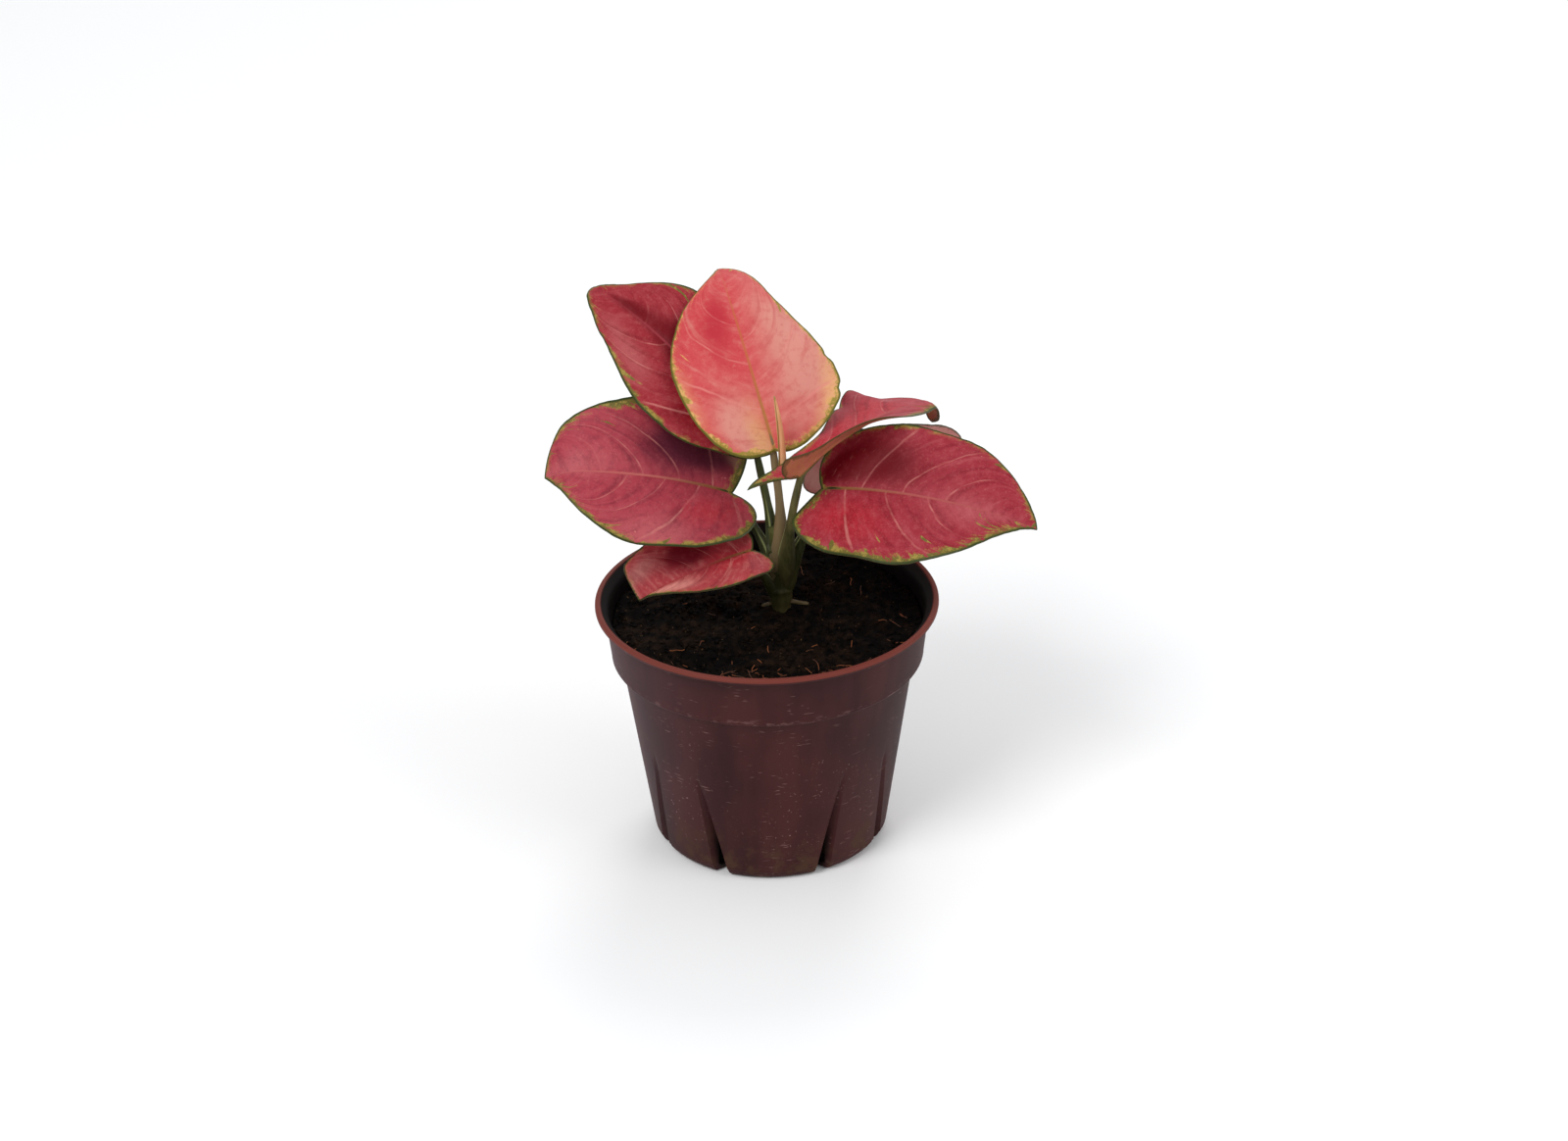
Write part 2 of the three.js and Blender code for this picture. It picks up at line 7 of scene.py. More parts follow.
import math
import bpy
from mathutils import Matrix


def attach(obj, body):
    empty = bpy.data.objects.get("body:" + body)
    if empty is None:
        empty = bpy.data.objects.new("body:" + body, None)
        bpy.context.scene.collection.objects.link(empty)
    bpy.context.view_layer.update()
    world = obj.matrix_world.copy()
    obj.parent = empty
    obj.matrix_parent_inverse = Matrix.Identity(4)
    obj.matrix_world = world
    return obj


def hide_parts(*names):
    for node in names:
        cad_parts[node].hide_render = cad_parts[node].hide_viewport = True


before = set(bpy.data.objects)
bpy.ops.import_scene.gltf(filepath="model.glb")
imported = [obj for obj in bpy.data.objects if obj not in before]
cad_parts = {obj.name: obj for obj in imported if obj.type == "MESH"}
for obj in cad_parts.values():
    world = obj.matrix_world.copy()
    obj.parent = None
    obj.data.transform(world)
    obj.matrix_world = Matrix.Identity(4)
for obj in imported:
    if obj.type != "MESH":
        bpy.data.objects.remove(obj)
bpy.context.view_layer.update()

from types import SimpleNamespace as Sizes

import bpy
import numpy as np
from bpy.props import FloatProperty, FloatVectorProperty, IntProperty, PointerProperty
from mathutils import Quaternion, Vector, noise

bl_info = {
    "name": "Potted Chinese Evergreen",
    "version": (1, 0, 0),
    "blender": (4, 5, 0),
    "location": "3D View > Sidebar > Evergreen",
    "description": "Builds a potted red-leaved Chinese evergreen round its CAD part",
    "category": "Add Mesh",
}

MM = 0.001
UPRIGHT = np.array([0, 0, 1.0])

POT = Sizes(
    height=81, wall=1.2, lip_radius=53.5, lip_height=2, collar_top=50.6, collar_foot=48.8,
    collar_height=16.5, body_top=46, foot=36.8, foot_round=3, floor=1.6, sides=256,
)
RIM_FOOT = POT.height - POT.lip_height
COLLAR_FOOT = RIM_FOOT - POT.collar_height
# lean: degrees round the axis at the foot and at the top, to alternate sides. fold_line: the
# share of a bay's faces that lies in its pleat
PLEATS = Sizes(count=8, depth=4.5, half_width=2.6, top=38, top_share=0.3, lean=(3, 10), fold_line=0.25)
DRAIN = Sizes(width=3.2, height=9, lift=0.4)
SOIL = Sizes(
    level=73, unevenness=1.3, foot=1.9, gap=0.75, sides=160, litter_radius=46, stem_clearance=5.5
)
FIBRE = Sizes(length=5, radius=0.12, bend=5)
# Where coir fibres lie thickest on the soil: x, y and size
LITTER = ((-13, -37, 6), (-3, -37, 6), (-42, -18, 4), (42, -4, 3), (18, -36, 3), (-26, -34, 5))
STEM = Sizes(
    x=4.4, y=7.5, foot=62, top=101, radius=3.6, swell=0.5, nodes=(80, 87, 94), rings=90, sides=48
)
PETIOLE = Sizes(
    foot=2, foot_share=0.14, sheath=2.8, sheath_share=0.6, neck=1.25, end=1.05, reach=2.5, under=0.9,
    rings=56, end_rings=12, sides=32,
)
# How tan the sheaths of some leaves are
TAN_SHEATHS = {"a": 0.9, "e": 0.35}
# Heading, length, height, rise and radius of the roots that show
ROOT_STUBS = ((-15, 9, 75.6, -2, 0.9), (200, 6.5, 75.2, -3, 0.8), (80, 7, 75.4, -4, 0.8))
ROOT_RINGS = 16
ROOT_SIDES = 16
# sheet is the thickness of the rolled blade as a share of the roll's radius
NEW_LEAF = Sizes(
    foot=(5.7, 2.6, 121.3), bow=(1.4, 0, 0), tip=(3.4, 0.2, 149.1), radius=1.4, turns=1.7, sheet=0.16,
    rings=70, steps=56,
)

VEINS_A_SIDE = 5.2
# About how far apart the side veins are
VEIN_SPACING = 11.0
TONES = ("pale", "dark", "bright", "faded")

# Camera: the photograph's frame, distance and angle. target_left: how far to the left of the
# frame's middle its target is, in pixels of a frame that is frame_width wide
CAMERA = Sizes(
    distance=1.0, elevation=27.5, roll=-1.11, lens=74.14, sensor=36, target=(0, 0, 0.09),
    frame_width=1600, target_left=18.1,
)
LAMP_TARGET = (0, 0, 0.1)
# Name, place, width and share of the power of each lamp
LAMPS = (
    ("key", (-0.9, -1.1, 1.7), 1.0, 1.0),
    ("fill", (1.4, -0.7, 1.1), 1.2, 0.35),
    ("back", (0.3, 1.4, 1.5), 1.0, 0.45),
)


def half(width, taper, lobe, fold, wave, band, trim, curl=(0, 0)):
    """One half of a blade. fold: its angle up from level at the base, the middle and the tip.
    curl: how far it bends on towards its margin, at the base and the tip. wave: height, number
    and phase of its waves. trim and band run round its margin from the base to the tip: how much
    wider it is than its plain outline, and the width of its green margin."""
    return Sizes(
        width=width, taper=taper, lobe=lobe, fold=fold, wave=wave, band=band, trim=trim, curl=curl
    )


def blade(**sizes):
    """A leaf blade. What isn't named is as on a plain one."""
    plain = dict(arch_bias=0, sway=0, hook=0, hook_at=0.86, vein_lean=1.5, nicks=())
    return Sizes(**{**plain, "petiole": (76.5, 0, 0, 0.5), **sizes})


# Leaf blades, as in the CAD part. petiole: height at which it leaves the stem, how far to +X its
# sheath stands, how much it leans to +X, and how far its end follows the blade. vein_lean: how
# strongly its side veins bend towards the tip. nicks: half, place round the margin and depth.
# tones are soft patches of another red, some of them painted shade and painted highlights as noted at
# each leaf: kind, place along the leaf, place across it (left is negative), size and strength.
LEAVES = {
    "a": blade(
        base=(3.4, 4, 128.9), length=72, width=54, heading=127, rise=64, roll=-24, arch=66,
        arch_bias=0.3, sway=-8, hook=20, petiole=(83, -1.6, 0.36, 0.5), vein_lean=1.6,
        left=half(
            0.92, 0.5, 0.03, (6, 4, 0), (0.8, 2.5, 0.3), (2.6, 2.0, 1.6, 1.0, 0.6),
            (1.1, 0.95, 0.93, 0.96, 0.8, 0.27, 0.2), curl=(-8, -50),
        ),
        right=half(
            1, 0.8, 0.07, (8, 4, 0), (0.8, 3, 0), (2.4, 2.2, 1.2, 0.8, 2.0),
            (0.5, 0.7, 1, 0.88, 0.8, 1.15, 1.3), curl=(-10, -70),
        ),
        nicks=((1, 0.335, 0.9), (1, 0.43, 0.8), (-1, 0.9, 0.7)),
        tones=(
            ("pale", 0.4, 0.65, 0.5, 1.0), ("pale", 0.08, -0.5, 0.3, 1.0), ("dark", 0.62, -0.3, 0.24, 0.7),
            ("faded", 0.18, 1.0, 0.24, 1.0), ("faded", 0.0, -0.2, 0.24, 1.0), ("faded", 0.3, -1.0, 0.22, 0.6),
        ),
    ),
    "b": blade(
        base=(-0.8, 13, 122.6), length=80, width=47, heading=159, rise=56, roll=-36, arch=46,
        sway=6, hook=40, hook_at=0.9, petiole=(81, 0, 0.06, 0.5), vein_lean=1.9,
        left=half(
            0.97, 0.4, -0.03, (5, 3, 0), (0.8, 3, 0.2), (1.0, 1.2, 1.3, 1.0, 0.8),
            (0.7, 0.75, 0.92, 0.92, 0.8, 0.8, 1), curl=(-5, -5),
        ),
        right=half(
            0.94, 0.6, 0.07, (5, 5, 5), (0.8, 3, 0.1), (1.0, 2.0, 3.0, 0.7, 0.6),
            (1, 1, 1, 1, 1.05, 0.5, 0.3), curl=(-5, -5),
        ),
        tones=(
            ("dark", 0.5, 0.15, 0.28, 1.0), ("pale", 0.66, -0.65, 0.26, 0.7), ("dark", 0.2, 0.2, 0.28, 1.0),
            ("dark", 0.8, 0.1, 0.14, 0.6), ("bright", 0.2, -0.4, 0.3, 0.9),
        ),
    ),
    "c": blade(
        base=(-9.9, 17, 108.6), length=63, width=52, heading=205, rise=28, roll=-46, arch=42,
        hook=40, hook_at=0.75, petiole=(76.5, 0, 0.1, 2), vein_lean=2.4,
        left=half(
            0.97, 0.7, 0.23, (10, 8, 5), (0.8, 3, 0.1), (2.2, 0.9, 1.4, 1.5, 0.8),
            (0.2, 0.42, 0.78, 1.04, 1.06, 0.6, 0.4),
        ),
        right=half(
            1, 0.6, 0.08, (30, 18, 5), (0.5, 3, 0.4), (3.0, 1.2, 2.6, 2.4, 1.0),
            (1, 1, 1, 0.97, 1.17, 1.6, 1.9),
        ),
        # Painted shadow: the dark patch, where leaf B shades the blade. Painted highlights: the pale patches.
        tones=(
            ("dark", 0.24, 0.5, 0.34, 1.0), ("faded", -0.02, 0.6, 0.16, 1.0), ("pale", 0.8, 0.1, 0.3, 0.7),
            ("bright", 0.12, -0.5, 0.26, 0.7), ("pale", 0.45, -0.85, 0.3, 0.8),
        ),
    ),
    "d": blade(
        base=(17.3, 2, 117), length=68.5, width=52, heading=-20, rise=9, roll=35, arch=28, sway=-10,
        left=half(
            0.9, 0.6, 0.07, (10, 8, 5), (0.8, 3, 0.2), (1.4, 0.8, 0.7, 0.8, 1.4),
            (0.86, 0.86, 0.94, 0.97, 1.07, 1.1, 1.1),
        ),
        right=half(
            1.06, 1.2, 0.18, (10, 8, 5), (0.7, 3, 0.5), (3.0, 2.2, 3.4, 3.2, 1.6),
            (1.1, 0.78, 0.9, 1.02, 0.95, 0.58, 0.4),
        ),
        # Painted shade: the dark patch, in the hollow of the blade's far half.
        tones=(
            ("dark", 0.16, -0.45, 0.34, 1.0), ("pale", 0.72, 0.1, 0.35, 0.6), ("bright", 0.15, 0.5, 0.3, 0.8)
        ),
    ),
    "e": blade(
        base=(9.2, -8, 125.3), length=71, width=43, heading=42.5, rise=26, roll=5, arch=49,
        hook=115, petiole=(80, 0.8, 0, 0.5),
        left=half(
            1, 0.6, 0.27, (12, -14, -10), (2.2, 4, 0.67), (1.6, 0.5, 0.3, 0.3, 0.5),
            (1.6, 1.1, 0.72, 0.52, 0.36, 0.31, 0.72, 1.1, 1.08, 0.75, 0.5, 1.4, 2.6),
        ),
        right=half(
            1, 0.6, 0.15, (75, 30, -30), (1, 3, 0.2), (2.0, 1.6, 1.6, 1.8, 1.2),
            (0.7, 1, 0.38, 0.66, 0.45, 0.5, 2.6),
        ),
        tones=(("bright", 0.5, -0.3, 0.4, 0.8), ("bright", 0.15, -0.5, 0.3, 0.7)),
    ),
    "f": blade(
        base=(-4.1, 5, 94.6), length=39, width=42, heading=200, rise=-6, roll=-8, arch=20, vein_lean=2.0,
        left=half(
            0.65, 0.9, 0.18, (0, 0, 0), (0.8, 2.5, 0), (0.7, 0.8, 0.9, 0.8, 0.9),
            (1, 1.1, 1.02, 0.9, 0.6, 0.25, 0.2),
        ),
        right=half(
            1, 0.1, 0.1, (28, 36, 55), (0.8, 2.5, 0.5), (0.5, 0.5, 0.5, 0.5, 0.6),
            (0.6, 0.64, 0.7, 0.8, 0.8, 1.3, 2.8),
        ),
        # Painted shadow: the dark patch, where leaf C shades the blade. The mauve patch by the tip is painted
        # shade with a painted sheen.
        tones=(
            ("dark", 0.5, 0.4, 0.28, 1.0), ("faded", 0.9, 0.6, 0.26, 0.8), ("pale", 0.75, -0.45, 0.32, 1.0),
            ("bright", 0.2, -0.1, 0.3, 1.0),
        ),
    ),
    "g": blade(
        base=(16.3, 28, 102.2), length=54, width=42, heading=37, rise=15, roll=-54, arch=24,
        left=half(1, 0.6, 0.07, (10, 10, 5), (0.8, 3, 0), (1.0, 0.8, 0.8, 0.8, 0.8), (1, 1)),
        right=half(
            1, 0.6, 0.22, (10, 10, 5), (0.8, 3, 0.5), (1.0, 1.0, 1.0, 1.0, 0.8),
            (1, 1.1, 1.3, 0.87, 0.88, 1, 1),
        ),
        tones=(("pale", 0.6, 0.3, 0.5, 0.9),),
    ),
}

# Colours of each leaf, as display colours. dark colours both darker streaks and painted shade, and pale both
# paler streaks and painted highlights.
RED_LEAF = dict(
    red="a4343f", dark="5a000e", pale="b4585e", bright="b02834", faded="8e6a58", vein="cc8078",
    rib_foot="7c5c2c", rib="a85450", green="5f6228", edge="303f1e", fringe="a08c44", under="a8645c",
)
PALE_LEAF = dict(
    red="c6484b", dark="b42c38", pale="d28d80", bright="cf4645", faded="dda674", vein="d8837a",
    rib_foot="9c7030", rib="b8603c", green="8c8230", edge="56561e", fringe="dca868", under="bc7660",
)
LEAF_COLOURS = {
    "a": PALE_LEAF,
    "b": dict(RED_LEAF, red="962832", dark="6a0612", pale="ae5658", bright="940a18", rib="983840"),
    "c": dict(RED_LEAF, red="a43a46", dark="4e1426", rib="b8665e"),
    "d": dict(RED_LEAF, red="982c38", dark="64000e"),
    "e": dict(RED_LEAF, red="a83a44", under="aa6848"),
    "f": dict(RED_LEAF, red="a83c42", dark="6c0c1c", pale="d48c82", faded="a0605c", rib="a83c42"),
    "g": dict(RED_LEAF, under="bc7e74"),
}


def display_colour(code):
    """Linear colour of a display colour written as six hexadecimal digits."""
    shares = [int(code[i : i + 2], 16) / 255 for i in (0, 2, 4)]
    return (*[s / 12.92 if s <= 0.04045 else ((s + 0.055) / 1.055) ** 2.4 for s in shares], 1.0)


def smoothstep(value, low, high):
    share = np.clip((value - low) / (high - low), 0, 1)
    return share * share * (3 - 2 * share)


def unit(vector):
    return vector / np.linalg.norm(vector, axis=-1, keepdims=True)


# Node trees


class Wire:
    """An output socket. Arithmetic on it adds Math nodes to its tree."""

    def __init__(self, nodes, socket):
        self.nodes = nodes
        self.socket = socket

    def __add__(self, other):
        return self.nodes.math("ADD", self, other)

    def __sub__(self, other):
        return self.nodes.math("SUBTRACT", self, other)

    def __rsub__(self, other):
        return self.nodes.math("SUBTRACT", other, self)

    def __mul__(self, other):
        return self.nodes.math("MULTIPLY", self, other)

    def __truediv__(self, other):
        return self.nodes.math("DIVIDE", self, other)

    def __rtruediv__(self, other):
        return self.nodes.math("DIVIDE", other, self)

    __radd__ = __add__
    __rmul__ = __mul__

    def other(self, output):
        """Another output of the same node."""
        return Wire(self.nodes, self.socket.node.outputs[output])


class Nodes:
    """Adds nodes to a node tree."""

    def __init__(self, tree):
        self.tree = tree

    def add(self, kind, values=None, output=0, **settings):
        """A node of that kind: its settings first, then its sockets' values or links."""
        node = self.tree.nodes.new(kind)
        for key, value in settings.items():
            setattr(node, key, value)
        for key, value in (values or {}).items():
            if isinstance(value, Wire):
                self.tree.links.new(value.socket, node.inputs[key])
            else:
                node.inputs[key].default_value = value
        return Wire(self, node.outputs[output]) if node.outputs else node

    def math(self, operation, *values):
        return self.add("ShaderNodeMath", dict(enumerate(values)), operation=operation)

    def vector_math(self, operation, first, second):
        socket = "Scale" if operation == "SCALE" else 1
        return self.add("ShaderNodeVectorMath", {0: first, socket: second}, operation=operation)

    def split(self, vector, axis):
        return self.add("ShaderNodeSeparateXYZ", {0: vector}, axis)

    def combine(self, x=0.0, y=0.0, z=0.0):
        return self.add("ShaderNodeCombineXYZ", {0: x, 1: y, 2: z})

    def noise(self, place, scale, detail=2.0, roughness=0.5):
        values = {"Vector": place, "Scale": scale, "Detail": detail, "Roughness": roughness}
        return self.add("ShaderNodeTexNoise", values)

    def push(self, place, scale, detail, distance, middle=0.5):
        """An offset by a noise; middle is the noise at which it neither lifts nor lowers."""
        values = self.noise(place, scale, detail).other("Color")
        centred = self.vector_math("SUBTRACT", values, (0.5, 0.5, middle))
        return self.vector_math("SCALE", centred, distance)

    def ramp(self, value, low, high):
        """0 below low, 1 above high, smooth in between."""
        values = {"Value": value, "From Min": low, "From Max": high}
        return self.add("ShaderNodeMapRange", values, interpolation_type="SMOOTHSTEP")

    def mix(self, factor, first, second):
        """A colour between two, each a wire, a linear colour or the digits of a display colour."""
        first, second = (display_colour(c) if isinstance(c, str) else c for c in (first, second))
        return self.add("ShaderNodeMix", {0: factor, 6: first, 7: second}, 2, data_type="RGBA")


class Shader(Nodes):
    """A procedural material that starts as one colour and is painted over."""

    def __init__(self, name, colour):
        self.material = bpy.data.materials.new(name)
        self.material.use_nodes = True
        super().__init__(self.material.node_tree)
        self.tree.nodes.clear()
        self.place = self.add("ShaderNodeTexCoord", output="Object")
        self.colour = colour

    def attribute(self, name):
        return self.add("ShaderNodeAttribute", output="Fac", attribute_name=name)

    def stretched(self, x, y, z):
        """The place with its coordinates multiplied."""
        return self.vector_math("MULTIPLY", self.place, (x, y, z))

    def shifted(self, place, scale, distance):
        """Coordinates pushed about by a noise."""
        return self.vector_math("ADD", place, self.push(place, scale, 2, distance))

    def spots(self, scale, detail, low, high, roughness=0.5):
        """Where a noise at that scale is high."""
        return self.ramp(self.noise(self.place, scale, detail, roughness), low, high)

    def paint(self, factor, colour):
        self.colour = self.mix(factor, self.colour, colour)

    def finish(self, roughness, bump=None, distance=0.0002, strength=0.5, specular=0.5):
        """Joins colour, roughness and bump to one surface shader."""
        values = {"Base Color": self.colour, "Roughness": roughness, "Specular IOR Level": specular}
        if bump is not None:
            relief = {"Height": bump, "Distance": distance, "Strength": strength}
            values["Normal"] = self.add("ShaderNodeBump", relief)
        surface = self.add("ShaderNodeBsdfPrincipled", values)
        self.add("ShaderNodeOutputMaterial", {"Surface": surface})
        return self.material


class GeometryTree(Nodes):
    """A Geometry Nodes tree with an input for each value: a count, a size or a material."""

    def __init__(self, name, values):
        super().__init__(bpy.data.node_groups.new(name, "GeometryNodeTree"))
        sockets = self.tree.interface
        sockets.new_socket(name="Geometry", in_out="OUTPUT", socket_type="NodeSocketGeometry")
        sockets.new_socket(name="Geometry", in_out="INPUT", socket_type="NodeSocketGeometry")
        for label, value in values.items():
            kind = {int: "Int", float: "Float"}.get(type(value), "Material")
            sockets.new_socket(name=label, in_out="INPUT", socket_type="NodeSocket" + kind)
        self.group = self.add("NodeGroupInput")

    def __getitem__(self, label):
        return self.group.other(label)

    def around(self, radius, angle, height):
        """A place at a radius and an angle round the Z axis."""
        return self.combine(radius * self.math("COSINE", angle), radius * self.math("SINE", angle), height)

    def random_vector(self, low, high, seed):
        return self.add("FunctionNodeRandomValue", {0: low, 1: high, 8: seed}, data_type="FLOAT_VECTOR")

    def scattered(self, piece, spots, turn, scale):
        """Copies of a piece spread over the ground, thickest where the attribute is high."""
        share = self.add("GeometryNodeInputNamedAttribute", {"Name": spots}, data_type="FLOAT")
        spread = {"Mesh": self["Geometry"], "Density": share * self["Density"], "Seed": self["Seed"]}
        points = self.add("GeometryNodeDistributePointsOnFaces", spread)
        return self.copies(points, piece, turn, scale)

    def copies(self, points, piece, turn, scale=(1, 1, 1)):
        values = {"Points": points, "Instance": piece, "Rotation": turn, "Scale": scale}
        return self.add("GeometryNodeRealizeInstances", {0: self.add("GeometryNodeInstanceOnPoints", values)})

    def finish(self, geometry):
        """Real geometry in the given material."""
        real = self.add("GeometryNodeRealizeInstances", {0: geometry})
        painted = self.add("GeometryNodeSetMaterial", {"Geometry": real, "Material": self["Material"]})
        self.add("NodeGroupOutput", {"Geometry": painted})
        return self.tree


def run_tree(obj, build, values):
    """Runs the Geometry Nodes tree that build makes and keeps the result as the object's plain mesh."""
    nodes = GeometryTree(build.__name__, values)
    tree = nodes.finish(build(nodes))
    modifier = obj.modifiers.new(tree.name, "NODES")
    modifier.node_group = tree
    for item in tree.interface.items_tree:
        if item.in_out == "INPUT" and item.name in values:
            modifier[item.identifier] = values[item.name]
    depsgraph = bpy.context.evaluated_depsgraph_get()
    mesh = bpy.data.meshes.new_from_object(obj.evaluated_get(depsgraph), depsgraph=depsgraph)
    obj.modifiers.remove(modifier)
    if not mesh.polygons:
        raise RuntimeError(f"{tree.name} made no faces for {obj.name}")
    obj.data = mesh


# Meshes


def scene_object(name, data):
    obj = bpy.data.objects.new(name, data)
    bpy.context.scene.collection.objects.link(obj)
    return obj


def set_attribute(mesh, label, values):
    attribute = mesh.attributes.new(label, "FLOAT", "POINT")
    attribute.data.foreach_set("value", np.asarray(values, np.float32))


def mesh_object(name, points, faces, material=None, attributes=None, edges=()):
    """An object at the origin from points in millimetres."""
    mesh = bpy.data.meshes.new(name)
    mesh.from_pydata((np.asarray(points) * MM).tolist(), edges, faces)
    for label, values in (attributes or {}).items():
        set_attribute(mesh, label, values)
    if material:
        mesh.materials.append(material)
    mesh.shade_smooth()
    return scene_object(name, mesh)


def place_piece(obj, node=None):
    """Fastens a finished piece to the body, and lets it stand for its CAD node."""
    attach(obj, "root")
    if node:
        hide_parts(node)


def vertex_places(mesh):
    """The mesh's points in millimetres."""
    places = np.empty(len(mesh.vertices) * 3)
    mesh.vertices.foreach_get("co", places)
    return places.reshape(-1, 3) / MM


def point_outwards(mesh):
    """Turns a closed mesh's faces round if they point inwards."""
    mesh.calc_loop_triangles()
    corners = np.empty(len(mesh.loop_triangles) * 3, np.int32)
    mesh.loop_triangles.foreach_get("vertices", corners)
    a, b, c = vertex_places(mesh)[corners.reshape(-1, 3)].transpose(1, 0, 2)
    if np.einsum("ij,ij->", np.cross(a, b), c) < 0:
        mesh.flip_normals()


def even_turn(sides):
    """Angles of the corners of a ring."""
    return np.linspace(0, 2 * math.pi, sides + 1)[:-1]


def sweep(centres, size, turn, first, second, caps=True):
    """A tube: a ring round each centre. size and turn give each ring's radii and angles, and first
    and second the directions across the path."""
    ring = np.cos(turn)[..., None] * first[:, None] + np.sin(turn)[..., None] * second[:, None]
    sections = centres[:, None] + size[..., None] * ring
    rings, sides = sections.shape[:2]
    points = sections.reshape(-1, 3)
    pairs = [(j, (j + 1) % sides) for j in range(sides)]
    faces = [
        (start + j, start + k, start + sides + k, start + sides + j)
        for start in range(0, (rings - 1) * sides, sides)
        for j, k in pairs
    ]
    if caps:
        points = np.vstack([points, centres[:1], centres[-1:]])
        start, middle = (rings - 1) * sides, rings * sides
        faces += [(k, j, middle) for j, k in pairs]
        faces += [(start + j, start + k, middle + 1) for j, k in pairs]
    return points, faces


def path_frames(centres, towards):
    """The two directions across a path at each of its points.
    The first of these leans towards the given direction."""
    along = unit(np.gradient(centres, axis=0))
    first = unit(towards - along * (along @ towards)[:, None])
    return first, np.cross(along, first)


def joined(parts):
    """Points, faces and attributes of several parts in one list each."""
    points, faces, attributes, start = [], [], {}, 0
    for part_points, part_faces, part_attributes in parts:
        points.append(part_points)
        faces += [tuple(i + start for i in face) for face in part_faces]
        for label, values in part_attributes.items():
            attributes.setdefault(label, []).append(values)
        start += len(part_points)
    return np.vstack(points), faces, {label: np.concatenate(v) for label, v in attributes.items()}


# Pot and soil


def body_radius(height):
    return POT.foot + (POT.body_top - POT.foot) * height / COLLAR_FOOT


def on_body(height, inset=0):
    """Radius and height of the cone's outside, or of a surface that far inside it."""
    return body_radius(height) - inset, height


def arc(centre, radius, start, end, steps):
    """Points on an arc; angles in degrees from outwards, growing upwards."""
    angles = np.radians(np.linspace(start, end, steps + 1))
    return [(centre[0] + radius * math.cos(a), centre[1] + radius * math.sin(a)) for a in angles]


def line(start, end, steps):
    """Points of a straight line without its last one."""
    return [tuple(np.array(start) + (np.array(end) - start) * i / steps) for i in range(steps)]


def pot_profile():
    """Radius and height round the pot's wall, from the axis below to the axis inside."""
    wall, height, lip, rounding = POT.wall, POT.height, POT.lip_radius, POT.foot_round
    foot, pleat_foot = POT.foot - rounding, POT.foot - rounding - PLEATS.depth
    collar, collar_top, neck = POT.collar_foot, POT.collar_top, body_radius(COLLAR_FOOT)
    return [
        *line((0, 0), (pleat_foot, 0), 4),
        *line((pleat_foot, 0), (foot, 0), 3),
        *arc((foot, rounding), rounding, -90, -8, 5),
        *line(on_body(rounding), on_body(PLEATS.top), 22),
        *line(on_body(PLEATS.top), on_body(COLLAR_FOOT - 1), 8),
        (neck + 0.1, COLLAR_FOOT - 0.7),
        (neck + 0.5, COLLAR_FOOT - 0.35),
        (collar - 1.2, COLLAR_FOOT - 0.15),
        *arc((collar - 0.7, COLLAR_FOOT + 0.6), 0.75, -80, 0, 4),
        *line((collar + 0.08, COLLAR_FOOT + 1.4), (collar_top, RIM_FOOT - 0.7), 6),
        (collar_top + 0.05, RIM_FOOT - 0.35),
        (collar_top + 0.5, RIM_FOOT - 0.1),
        *arc((lip - 0.8, RIM_FOOT + 0.8), 0.8, -90, 0, 4),
        *arc((lip - 0.8, height - 0.8), 0.8, 10, 90, 4),
        *arc((lip - 1.4, height - 0.5), 0.5, 90, 150, 3),
        *line((lip - 2.1, height - 0.6), (collar_top - wall + 0.1, RIM_FOOT - 0.6), 4),
        *line((collar_top - wall + 0.05, RIM_FOOT - 0.8), (collar - wall, COLLAR_FOOT + 1), 6),
        *line(on_body(COLLAR_FOOT - 1, wall), on_body(PLEATS.top, wall), 4),
        *line(on_body(PLEATS.top, wall), on_body(rounding, wall), 22),
        (foot - 0.2, POT.floor),
        (pleat_foot - wall, POT.floor),
        (0, POT.floor),
    ]


def soil_profile():
    """Radius and height round the soil, from the axis at its foot to the axis at its top."""
    wall, level, low, collar = POT.wall, SOIL.level, POT.foot_round, POT.collar_foot
    edge = collar + (POT.collar_top - collar) * (level - COLLAR_FOOT) / POT.collar_height - wall - 0.5
    inset = wall + SOIL.gap
    return [
        (0, SOIL.foot),
        (POT.foot - low - PLEATS.depth - wall - 0.6, SOIL.foot),
        (POT.foot - low - 0.9, SOIL.foot),
        *line(on_body(low, inset), on_body(PLEATS.top, inset), 8),
        *line(on_body(PLEATS.top, inset), on_body(COLLAR_FOOT - 1, inset), 4),
        (collar - wall - 0.6, COLLAR_FOOT + 1.2),
        (edge, level - 0.8),
        *line((edge, level), (0, level), 62),
        (0, level),
    ]


def leaned(t, angle, height):
    """Turn of the pleats round the axis at a height, for a place at that angle."""
    up = t.math("MINIMUM", 1, height / t["Pleat Top"])
    lean = t["Lean At Foot"] + (t["Lean At Top"] - t["Lean At Foot"]) * up
    return angle + lean * t.math("SINE", angle * t["Pleats"] * 0.5)


